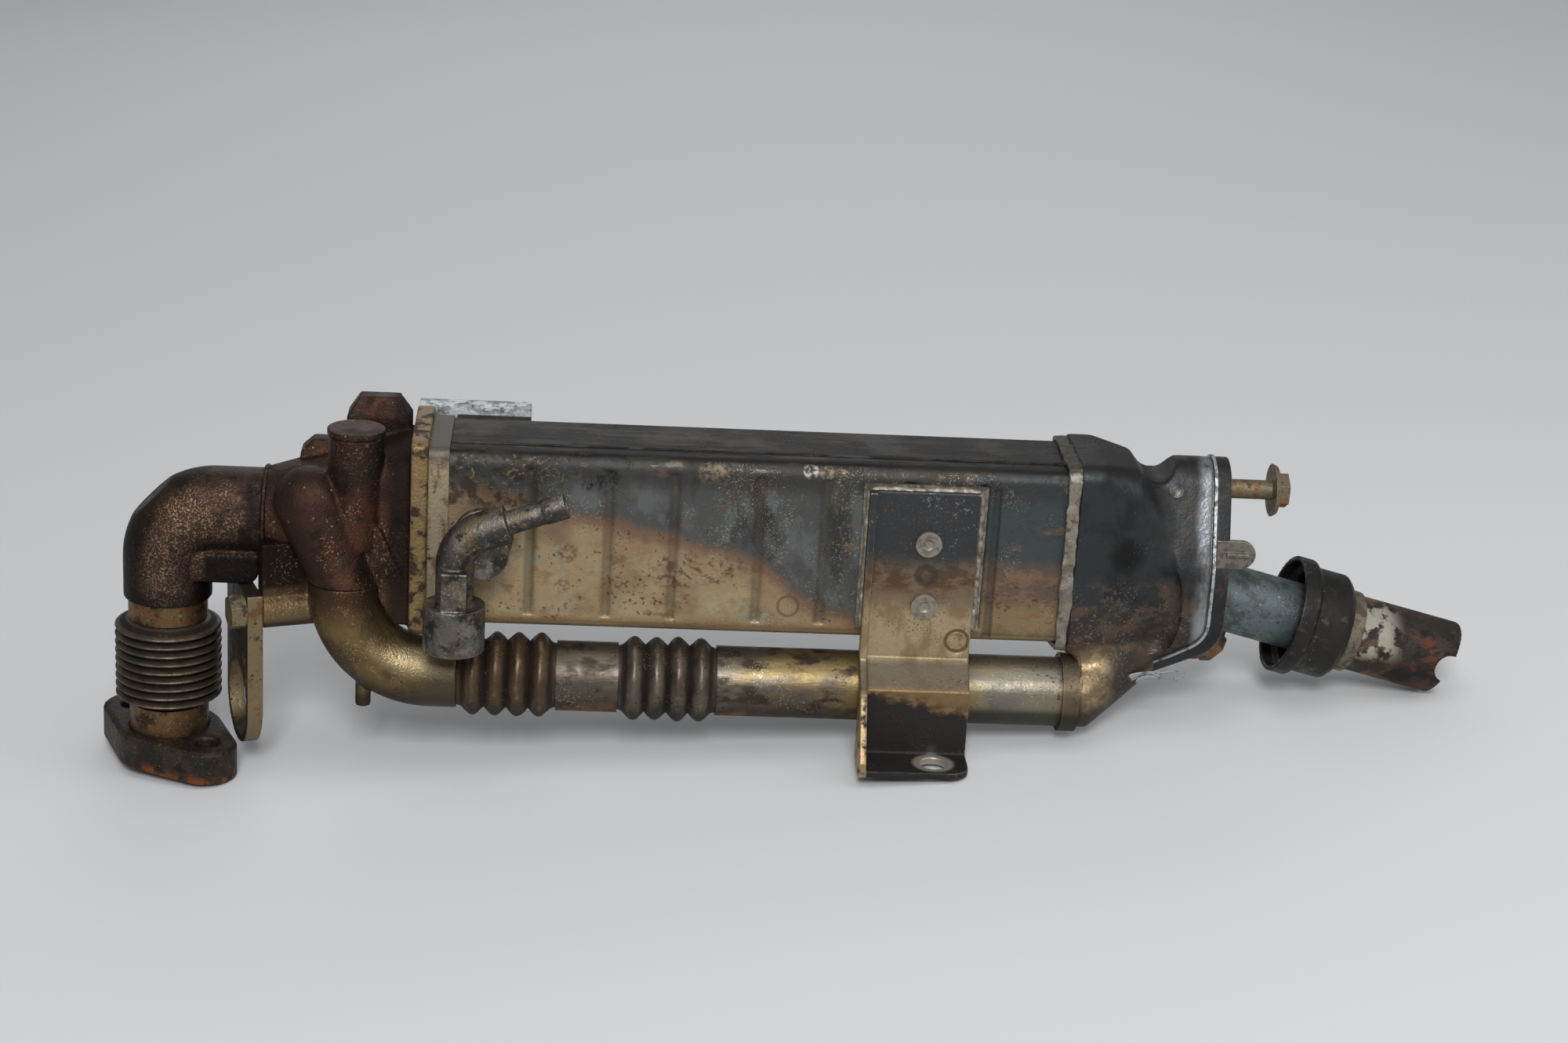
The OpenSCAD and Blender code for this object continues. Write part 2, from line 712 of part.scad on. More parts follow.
// End view of the rear shell: a U that opens to the front and meets the front panel's laps
function rear_points(inset) =
    let (high = core_h / 2, r = rear_fold_r)
    concat([[core_front + front_lap, high - inset]],
        arc([core_rear - r, high - r], r - inset, 90, 0), arc([core_rear - r, r - high], r - inset, 0, -90),
        [[core_front + front_lap, inset - high]]);

module core_rear_shell() {
    outer = rear_points(0);
    inner = rear_points(core_wall);
    color([0.2, 0.19, 0.18]) difference() {
        along_x(core_start_x, core_len) translate([0, core_z])
            polygon(concat(outer, [for (i = [len(inner) - 1:-1:0]) inner[i]]));
        bar_y(rear_port_x, core_rear - core_wall - cut, rear_port_z, core_wall + 2 * cut, rear_bore_r);
    }
}

// One gas tube's section, with its sides drawn in by an inset
module tube_section(inset) {
    r = tube_h / 2 - inset;
    square([tube_w - tube_h, 2 * r], center = true);
    for (side = [-1, 1]) translate([side * (tube_w - tube_h) / 2, 0]) circle(r);
}

// Places its children at each tube of the bundle, with the section across X
module tube_places(x) {
    for (row = [0:tube_rows - 1], column = [0:tube_columns - 1])
        translate([x, core_y + (column - (tube_columns - 1) / 2) * tube_column_pitch,
            core_z + (row - (tube_rows - 1) / 2) * tube_row_pitch])
            rotate([90, 0, 90]) children();
}

// A header plate that fits inside the core shell
module header_plate(x) {
    gap = core_wall + fit;
    header_w = core_w - 4 * gap;
    header_h = core_h - 4 * gap;
    difference() {
        translate([x, core_y - header_w / 2, core_z - header_h / 2]) cube([header_t, header_w, header_h]);
        tube_places(x - cut) linear_extrude(header_t + 2 * cut) tube_section(-fit);
    }
}

module inlet_header() {
    color([0.4, 0.38, 0.36]) header_plate(core_start_x);
}

module outlet_header() {
    color([0.4, 0.38, 0.36]) header_plate(core_end_x - header_t);
}

module gas_tubes() {
    color([0.45, 0.43, 0.4]) tube_places(core_start_x) linear_extrude(core_len) difference() {
        tube_section(0);
        tube_section(tube_wall);
    }
}

module core_outlet_band() {
    color([0.45, 0.44, 0.42])
        rounded_frame(cap_start - weld_band_len, core_y, core_z, weld_band_len,
            core_w + 2 * (weld_band_t + fit), core_h + 2 * (weld_band_t + fit), rear_fold_r + weld_band_t,
            weld_band_t);
}

// The cast branch at a radius: short upright, bend and short level end
module branch_path(r, extra) {
    bend_z = bypass_z + branch_bend_r;
    translate([branch_x, bypass_y, bend_z]) cylinder(h = branch_top - bend_z + extra, r = r);
    translate([branch_x + branch_bend_r, bypass_y, bend_z]) rotate([90, 0, 0]) rotate([0, 0, 180])
        bend(branch_bend_r, 90, r);
    bar_x(branch_x + branch_bend_r, bypass_y, bypass_z, branch_end - branch_x - branch_bend_r + extra, r);
}

// Web above the arm, cut to the outside of the collector
module branch_web() {
    difference() {
        on_side_bracket() translate([side_web_start, side_bolt_y - side_web_t / 2, side_bolt_z])
            cube([side_arm_len - side_web_start - 2, side_web_t, core_z - side_bolt_z - 6]);
        collector_body(-fit, 0);
        passage(bypass_r + fit);
        bar_x(elbow_bend_r, 0, core_z, elbow_end_x - elbow_bend_r + cut, elbow_r + fit);
    }
}

module bypass_branch() {
    color([0.5, 0.42, 0.28]) difference() {
        union() {
            branch_path(bypass_r, 0);
            on_side_bracket() bar_x(side_t / 2, side_bolt_y, side_bolt_z, side_arm_len, side_arm_r);
            branch_web();
            translate([branch_x + 8, bypass_y, bypass_z - bypass_r - 1]) cylinder(h = 15, r = 3.2);
        }
        branch_path(bypass_r - casting_wall / 2, cut);
        bar_x(branch_end - cuff_len - 1, bypass_y, bypass_z, cuff_len + 2, bypass_r - bypass_wall);
        collector_body(-fit, 0);
        on_side_bracket()
            bar_x(side_t / 2 - cut, side_bolt_y, side_bolt_z, 16, side_bolt_d / 2 + thread_fit);
    }
}

// A bypass bellows centred on x, with cuffs that slide into the pipes on each side
module bypass_bellows(x) {
    length = 2 * bypass_half;
    translate([x - bypass_half, bypass_y, bypass_z]) rotate([0, 90, 0])
        bellows_tube(length, bypass_turns, bypass_r - 0.6, bypass_crest_r, bypass_r - bypass_wall - fit,
            cuff_len, cuff_len, bellows_wall);
}

module bypass_front_bellows() {
    color([0.42, 0.35, 0.27]) bypass_bellows(core_start_x + front_bellows_x);
}

module bypass_mid_tube() {
    start = core_start_x + front_bellows_x + bypass_half;
    end = core_start_x + rear_bellows_x - bypass_half;
    color([0.45, 0.4, 0.33]) tube_x(start, bypass_y, bypass_z, end - start, bypass_r, bypass_wall);
}

module bypass_rear_bellows() {
    color([0.4, 0.37, 0.32]) bypass_bellows(core_start_x + rear_bellows_x);
}

module bypass_long_tube() {
    start = core_start_x + rear_bellows_x + bypass_half;
    color([0.5, 0.45, 0.34])
        tube_x(start, bypass_y, bypass_z, core_end_x + 2 - start, bypass_r, bypass_wall);
}

module bypass_end_ring() {
    color([0.45, 0.38, 0.28])
        tube_x(horn_start - end_ring_len, bypass_y, bypass_z, end_ring_len, ring_r, end_ring_t);
}

// The end cap from the core's section to its neck, drawn in by a wall and kept clear of the bypass ring
module cap_body(wall, extra) {
    mouth_w = core_w + 2 * (weld_band_t + fit) + 1;
    mouth_h = core_h + 2 * (weld_band_t + fit) + 2;
    difference() {
        hull() {
            section_x(cap_start - extra, core_y, core_z, mouth_w - 2 * wall, mouth_h - 2 * wall,
                7 - wall / 2, 10);
            section_x(core_end_x + cap_len * 0.52, core_y, core_z - 1, mouth_w - 4 - 2 * wall,
                mouth_h - 4 - 2 * wall, 13 - wall / 2);
            section_x(cap_end + extra, core_y + 2, core_z - 12, core_w - 6 - 2 * wall,
                core_h - 30 - 2 * wall, 13 - wall / 2);
        }
        bar_x(cap_start - cut, bypass_y, bypass_z, horn_start + horn_mouth - cap_start + cut,
            ring_r + fit + wall);
    }
}

module outlet_end_cap() {
    color([0.14, 0.14, 0.16]) difference() {
        cap_body(0, 0);
        cap_body(cap_wall, skin);
    }
}

// The horn's solid: from the bypass ring up into the underside of the cap and pan
module horn_body(wall, extra) {
    hull() {
        disc_x(horn_start - extra, bypass_y, bypass_z, bypass_r + fit - wall, horn_mouth);
        translate([cap_end - horn_back, core_y - 3, bypass_z + horn_rise])
            sphere(bypass_r - wall, $fn = hull_fn);
    }
}

module bypass_horn() {
    color([0.3, 0.26, 0.22]) difference() {
        horn_body(0, 0);
        horn_body(cap_wall, skin);
        cap_body(-fit, 0);
        outlet_slab(concat(plate_line(-fit, 2), [for (i = [7:-1:0]) pan_line(-2)[i]]), -fit);
        gasket_sheet(fit, outlet_gasket_proud + fit);
    }
}

// The solid sheet of the outlet gasket, grown by a clearance on its faces and to a width past the plate
module gasket_sheet(clearance, proud) {
    near = plate_line(outlet_plate_t - clearance, proud);
    far = plate_line(outlet_plate_t + outlet_gasket_t + clearance, proud);
    outlet_slab(concat(near, [for (i = [len(far) - 1:-1:0]) far[i]]), -proud);
}

module outlet_gasket() {
    color([0.6, 0.6, 0.6]) difference() {
        gasket_sheet(0, outlet_gasket_proud);
        gasket_sheet(cut, -gasket_land);
        on_lower_bolt() translate([0, 0, -12]) cylinder(h = 24, d = outlet_bolt_d + 1);
    }
}

// Side view of the plate's outer face, drawn in by an inset: an upright, a bend and a slope, in X and Z
function plate_line(inset, more = 0) =
    let (centre = [plate_end - sweep_r, port_z], last = [-sin(sweep_turn), -cos(sweep_turn)],
        bend = arc(centre, sweep_r - inset, 0, -sweep_turn, 8))
    concat([[plate_end - inset, plate_top + 5]], bend, [bend[8] + (sweep_len + more) * last]);

// Side view of the pan's inner edge, from top to bottom, drawn in by a wall
function pan_line(wall) =
    let (rim = plate_line(outlet_plate_t + outlet_gasket_t), foot = rim[len(rim) - 1] - [2.4, port_z + 0.8])
    [for (p = [[plate_end - 20, 67], [plate_end - 24, 59], [cap_end - 14, 49], [cap_end - 7, 29],
        [cap_end - 2, 15], [cap_end - 1, 1], [plate_end - 21, -12], foot])
        [p[0] + wall, port_z + p[1]]];

// Stands a profile drawn in X and Z upright and runs it along +Y
module along_y(y, length) {
    translate([0, y + length, 0]) rotate([90, 0, 0]) linear_extrude(length) children();
}

// End view of the outlet plate and pan, in Y and Z, drawn in by a wall
module outlet_outline(wall) {
    foot_r = 16;
    half = outlet_plate_w / 2;
    hull() {
        translate([upper_bolt[0], upper_bolt[1]]) circle(bolt_edge - wall, $fn = hull_fn);
        translate([core_y, port_z + 16]) circle(half - wall, $fn = hull_fn * 2);
        translate([core_y, port_z - 2]) circle(half - wall, $fn = hull_fn * 2);
        translate([port_y - 4, port_z - 26]) circle(foot_r - wall, $fn = hull_fn);
        translate([lower_bolt_y - 4, port_z - 20]) circle(bolt_edge - wall, $fn = hull_fn);
    }
}

// A curved slab between two side views, trimmed to the plate's end view
module outlet_slab(points, wall) {
    intersection() {
        along_y(core_y - outlet_plate_w, 2 * outlet_plate_w) polygon(points);
        along_x(cap_start, 2 * outlet_reach) outlet_outline(wall);
    }
}

// The pressed pan behind the outlet plate, drawn in by a wall
module pan_body(wall, extra) {
    rim = plate_line(outlet_plate_t + outlet_gasket_t - extra);
    outlet_slab(concat(rim, [for (i = [7:-1:0]) pan_line(wall)[i]]), wall);
}

module outlet_pan() {
    color([0.2, 0.2, 0.22]) difference() {
        pan_body(0, 0);
        pan_body(cap_wall, cut);
        cap_body(-fit, 0);
        horn_body(cap_wall, 0);
    }
}

// Puts its children on the lower bolt's axis, with Z leaving the plate's outer face
module on_lower_bolt() {
    translate([plate_end - sweep_r, lower_bolt_y, port_z]) rotate([0, 90 + lower_bolt_angle, 0])
        translate([0, 0, sweep_r]) children();
}

// Puts its children on the upper bolt's axis, with Z leaving the plate's outer face
module on_upper_bolt() {
    translate([plate_end, upper_bolt[0], upper_bolt[1]]) rotate([0, 90, 0]) children();
}

module outlet_plate() {
    outer = plate_line(0);
    inner = plate_line(outlet_plate_t);
    color([0.24, 0.24, 0.26]) difference() {
        outlet_slab(concat(outer, [for (i = [len(inner) - 1:-1:0]) inner[i]]), 0);
        on_outlet_axis() translate([0, 0, -20]) cylinder(h = 40, r = outlet_tube_r - 1.5);
        on_upper_bolt() translate([0, 0, -20]) cylinder(h = 40, d = outlet_bolt_d + 2 * thread_fit);
        on_lower_bolt() translate([0, 0, -12]) cylinder(h = 24, d = outlet_bolt_d + 2 * thread_fit);
    }
}

module locating_tab() {
    tab_z = core_z + 5.5;
    tab_half = 6;
    tab_t = 2;
    tab_front = core_y - outlet_plate_w / 2 + 3;
    color([0.5, 0.5, 0.48]) difference() {
        translate([plate_end + 4, tab_front, tab_z]) rotate([90, 0, 0]) {
            linear_extrude(tab_t) {
                circle(tab_half);
                translate([-10, -tab_half]) square([10, 2 * tab_half]);
            }
            translate([-6, 0, tab_t]) rotate([0, 90, 0]) cylinder(h = 9, r = 1.2);
        }
        along_x(cap_start, plate_end - cap_start) outlet_outline(0);
    }
}

// A flanged outlet bolt on the plate's outer face, with its head backed out
module outlet_bolt(proud) {
    translate([0, 0, proud])
        flanged_bolt(outlet_bolt_d, proud + outlet_plate_t + 3, 2.75 * outlet_bolt_d, 2);
}

module outlet_bolts() {
    color([0.5, 0.44, 0.36]) {
        on_upper_bolt() outlet_bolt(upper_bolt_proud);
        on_lower_bolt() outlet_bolt(lower_bolt_proud);
    }
}

// Puts its children on the sloping outlet axis, with Z along the tube
module on_outlet_axis() {
    translate([plate_end, port_y, port_z]) rotate([0, 90 + outlet_slope, 0]) children();
}

module outlet_tube() {
    wall = 1.5;
    sunk = 6;
    color([0.55, 0.58, 0.6]) difference() {
        on_outlet_axis() translate([0, 0, -sunk]) difference() {
            cylinder(h = cup_floor + sunk, r = outlet_tube_r);
            translate([0, 0, -cut]) cylinder(h = cup_floor + sunk + 2 * cut, r = outlet_tube_r - wall);
        }
        outlet_slab(concat(plate_line(0), [[cap_start, 0], [cap_start, plate_top + 5]]), 0);
    }
}

module outlet_cup() {
    lip = 7;
    hole = nozzle_r + fit;
    color([0.4, 0.38, 0.35]) on_outlet_axis() rotate_extrude() polygon([
        [cup_rim_r - cup_wall, cup_start], [cup_rim_r, cup_start], [cup_rim_r, cup_start + lip],
        [cup_r, cup_start + lip + 1.5], [cup_r, cup_floor - 3], [cup_r - 3, cup_floor], [hole, cup_floor],
        [hole, cup_floor - cup_wall], [cup_r - cup_wall - 1.5, cup_floor - cup_wall],
        [cup_r - cup_wall, cup_floor - cup_wall - 1.5], [cup_r - cup_wall, cup_start + lip - 0.5],
        [cup_rim_r - cup_wall, cup_start + lip - 1.5]]);
}

module nozzle_ring() {
    color([0.7, 0.66, 0.58]) on_outlet_axis() collar_ring(cup_floor, 6, nozzle_r + fit + 1.2, 1.2);
}

module mixing_nozzle() {
    nozzle_start = cup_floor - 12;
    color([0.22, 0.2, 0.19]) on_outlet_axis() difference() {
        translate([0, 0, nozzle_start]) difference() {
            cylinder(h = nozzle_len + 12, r = nozzle_r);
            translate([0, 0, -cut]) cylinder(h = nozzle_len + 12 + 2 * cut, r = outlet_tube_r + fit);
        }
        for (side = [-1, 1])
            translate([0, side * nozzle_r, cup_floor + nozzle_len - tip_slant / 2]) rotate([90, 0, 0])
                cylinder(h = 12, r = notch_depth, center = true);
        translate([-nozzle_r, -nozzle_r - cut, cup_floor + nozzle_len])
            rotate([0, atan(tip_slant / nozzle_r / 2), 0]) translate([-10, 0, 0])
                cube([20 + 3 * nozzle_r, 2 * nozzle_r + 2 * cut, 20]);
    }
}

module bracket_doubler() {
    doubler_h = bracket_top + 2 + core_h / 2 - core_fold_r;
    color([0.4, 0.36, 0.3]) difference() {
        translate([bracket_left - 5, plate_back, core_z + bracket_top + 2 - doubler_h])
            cube([bracket_w + 8, doubler_t, doubler_h]);
        rivet_places(plate_back - cut, doubler_t + 2 * cut, rivet_d / 2 + fit);
    }
}

// Round bars along Y at the two rivets
module rivet_places(y, length, r) {
    for (row = [0, 1]) bar_y(rivet_x, y, rivet_z - row * rivet_pitch, length, r);
}

// Side view of the bracket's plate, step, leg and foot, one sheet thick
module bracket_profile() {
    top = core_z + bracket_top;
    polygon([[plate_back, top], [plate_back, step_top], [leg_back, step_bottom], [leg_back, foot_z],
        [leg_back - foot_len, foot_z], [leg_back - foot_len, foot_z + bracket_t],
        [leg_back - bracket_t, foot_z + bracket_t], [leg_back - bracket_t, step_bottom],
        [plate_back - bracket_t, step_top], [plate_back - bracket_t, top]]);
}

// Side view of the stiffening flange that widens from the top edge down to the foot
module bracket_gusset_profile() {
    top = core_z + bracket_top;
    polygon([[plate_back - 1, top], [plate_back - 1, step_top], [leg_back - 1, step_bottom],
        [leg_back - 1, foot_z], [leg_back - foot_len, foot_z], [leg_back - foot_len, foot_z + 6],
        [leg_back - bracket_t - 5, step_bottom], [plate_back - bracket_t - 4, step_top],
        [plate_back - bracket_t - 3, top]]);
}

module support_bracket() {
    hole_x = bracket_left + bracket_w - 14;
    hole_y = leg_back - foot_len / 2 - 1;
    corner = 8;
    color([0.24, 0.21, 0.18]) difference() {
        union() {
            translate([bracket_left, 0, 0]) rotate([90, 0, 90]) linear_extrude(bracket_w) bracket_profile();
            translate([bracket_left - bracket_t, 0, 0]) rotate([90, 0, 90]) linear_extrude(bracket_t)
                bracket_gusset_profile();
        }
        translate([hole_x, hole_y, foot_z - cut]) cylinder(h = bracket_t + 2 * cut, d = foot_hole_d);
        rivet_places(plate_back - bracket_t - cut, bracket_t + 2 * cut, rivet_d / 2 + fit);
        translate([bracket_left + bracket_w - corner, leg_back - foot_len - cut, foot_z - cut])
            difference() {
                cube([corner + cut, corner + cut, bracket_t + 2 * cut]);
                translate([0, corner + cut, -cut]) cylinder(h = bracket_t + 4 * cut, r = corner);
            }
        bar_y(bracket_left + bracket_w - 6, plate_back - bracket_t - cut, core_z - core_h / 2 + 1,
            cut + 0.4, 4.7);
    }
}

module bracket_rivets() {
    head_t = 1.6;
    color([0.55, 0.52, 0.48]) difference() {
        union() {
            rivet_places(plate_back - bracket_t - head_t, head_t, rivet_head_d / 2);
            rivet_places(plate_back - bracket_t - head_t, head_t + bracket_t + doubler_t, rivet_d / 2);
        }
        rivet_places(plate_back - bracket_t - head_t - cut, cut + 0.8, rivet_d / 2);
    }
}

module coolant_boss() {
    color([0.42, 0.4, 0.36]) difference() {
        bar_y(boss_port[0], core_front - 4, boss_port[1], 4, boss_port_r);
        bar_y(boss_port[0], core_front - 4 - cut, boss_port[1], 4 + 2 * cut, coolant_port_r);
    }
}

// The coolant elbow's waterway at a radius: upright tube from a level, bend and rising leg
module coolant_path(r, low, leg) {
    translate([socket_x, socket_y, low]) cylinder(h = spigot_bend_z - low, r = r);
    translate([socket_x + spigot_bend_r, socket_y, spigot_bend_z]) rotate([90, 0, 0]) mirror([1, 0, 0])
        bend(spigot_bend_r, spigot_turn, r);
    on_spigot() cylinder(h = leg, r = r);
}

// Puts its children at the end of the elbow's bend, with Z along the hose spigot
module on_spigot() {
    translate([socket_x + spigot_bend_r * (1 - cos(spigot_turn)), socket_y,
        spigot_bend_z + spigot_bend_r * sin(spigot_turn)]) rotate([0, 90 - spigot_rise, 0]) children();
}

module coolant_elbow() {
    step = 11;
    lug_w = 10;
    color([0.35, 0.35, 0.35]) difference() {
        union() {
            translate([socket_x, socket_y, socket_z]) cylinder(h = socket_len, r = socket_r);
            coolant_path(coolant_r, socket_z + socket_len / 2, step);
            on_spigot() {
                translate([0, 0, step]) cylinder(h = spigot_len, d = spigot_d - 2 * spigot_neck);
                translate([0, 0, step + spigot_len - spigot_tip]) cylinder(h = spigot_tip, d = spigot_d);
            }
            bar_y(boss_port[0], socket_y - 1, boss_port[1], coolant_out - 3, boss_port_r - 1);
            translate([socket_x - lug_w / 2, socket_y - socket_r + 1.5, socket_z + socket_len - 8])
                cube([lug_w, socket_r - 3, 24]);
        }
        translate([socket_x, socket_y, socket_z - cut])
            cylinder(h = socket_len - 6 + cut, d = socket_bore_d);
        coolant_path(coolant_bore_r, socket_z + 4, step + spigot_len + cut);
        bar_y(boss_port[0], socket_y + 1, boss_port[1], coolant_out, coolant_port_r);
    }
}

// A block behind the core between two X positions, as high as given about the rear port
module rear_block(x0, x1, y, t, h) {
    translate([x0, y, rear_port_z - h / 2]) cube([x1 - x0, t, h]);
}

// Round bars along Y at the two screws of the rear coolant flange
module rear_screw_places(y, length, r) {
    for (side = [-1, 1])
        bar_y(rear_port_x + side * rear_screw_w, y, rear_port_z + side * rear_screw_h, length, r);
}

// A plate of the rear coolant fitting with its port and screw holes
module rear_plate(x0, y, t, h, screw_r) {
    difference() {
        rear_block(x0, rear_port_x + rear_pad_w / 2, y, t, h);
        bar_y(rear_port_x, y - cut, rear_port_z, t + 2 * cut, rear_bore_r);
        rear_screw_places(y - cut, t + 2 * cut, screw_r);
    }
}

module rear_coolant_pad() {
    color([0.4, 0.39, 0.38])
        rear_plate(rear_port_x - rear_pad_w / 2, core_rear, rear_pad_t, rear_pad_h,
            rear_screw_d / 2 + thread_fit);
}

module rear_coolant_gasket() {
    color([0.15, 0.15, 0.15])
        rear_plate(rear_port_x - rear_pad_w / 2, core_rear + rear_pad_t, rear_gasket_t, rear_pad_h,
            rear_screw_d / 2 + fit);
}

module rear_coolant_flange() {
    color([0.62, 0.64, 0.66]) {
        rear_plate(collector_end, rear_flange_y, rear_flange_t, rear_pad_h + rear_flange_over,
            rear_screw_d / 2 + fit);
        difference() {
            bar_y(rear_port_x, rear_flange_y + rear_flange_t / 2, rear_port_z,
                rear_flange_t / 2 + rear_spigot_len, rear_spigot_d / 2);
            bar_y(rear_port_x, rear_flange_y, rear_port_z, rear_flange_t + rear_spigot_len + cut,
                rear_bore_r);
        }
    }
}

module rear_flange_screws() {
    seat = rear_flange_y + rear_flange_t;
    color([0.4, 0.38, 0.36])
        for (side = [-1, 1])
            translate([rear_port_x + side * rear_screw_w, seat, rear_port_z + side * rear_screw_h])
                rotate([-90, 0, 0])
                    flanged_bolt(rear_screw_d, rear_flange_t + rear_gasket_t + rear_pad_t,
                        1.8 * rear_screw_d, 1.2);
}

inlet_flange();
inlet_lower_collar();
inlet_bellows();
inlet_upper_collar();
inlet_elbow();
collector_housing();
boss_cap();
side_bracket();
side_bracket_bolt();
core_inlet_collar();
core_front_shell();
core_rear_shell();
inlet_header();
outlet_header();
gas_tubes();
core_outlet_band();
bypass_branch();
bypass_front_bellows();
bypass_mid_tube();
bypass_rear_bellows();
bypass_long_tube();
bypass_end_ring();
outlet_end_cap();
bypass_horn();
outlet_pan();
outlet_gasket();
outlet_plate();
locating_tab();
outlet_bolts();
outlet_tube();
outlet_cup();
nozzle_ring();
mixing_nozzle();
bracket_doubler();
support_bracket();
bracket_rivets();
coolant_boss();
coolant_elbow();
rear_coolant_pad();
rear_coolant_gasket();
rear_coolant_flange();
rear_flange_screws();
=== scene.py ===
"""Exhaust gas cooler: castings, bellows, core, bypass pipe, bracket and outlet, as worn in use."""
import math

import bpy
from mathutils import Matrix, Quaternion, Vector


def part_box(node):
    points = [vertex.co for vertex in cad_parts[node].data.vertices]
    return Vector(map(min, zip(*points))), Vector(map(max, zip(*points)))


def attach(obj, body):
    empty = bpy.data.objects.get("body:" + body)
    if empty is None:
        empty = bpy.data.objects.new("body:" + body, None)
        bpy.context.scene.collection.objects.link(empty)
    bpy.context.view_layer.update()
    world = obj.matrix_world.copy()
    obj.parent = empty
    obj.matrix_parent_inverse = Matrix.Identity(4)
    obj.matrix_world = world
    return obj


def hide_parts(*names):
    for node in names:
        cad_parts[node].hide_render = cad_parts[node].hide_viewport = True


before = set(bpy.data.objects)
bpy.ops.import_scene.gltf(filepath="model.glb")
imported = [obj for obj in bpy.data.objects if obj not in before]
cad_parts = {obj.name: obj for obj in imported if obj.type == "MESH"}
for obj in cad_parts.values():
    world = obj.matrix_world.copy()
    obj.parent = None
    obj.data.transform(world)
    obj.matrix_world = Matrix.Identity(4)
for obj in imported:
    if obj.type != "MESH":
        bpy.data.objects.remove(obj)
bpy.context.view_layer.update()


# Inlet flange: a thick two-bolt casting that bolts the cooler to the exhaust manifold.
# It is cast iron, machined on the gasket face only, and rusts first along its lower edge.
mm_in_metre = 1000.0


def tint(shade):
    """A colour as seen, 0 to 255, as the linear colour that a shader reads."""
    linear = []
    for part in shade:
        value = part / 255
        linear.append(value / 12.92 if value <= 0.04045 else ((value + 0.055) / 1.055) ** 2.4)
    return (*linear, 1.0)


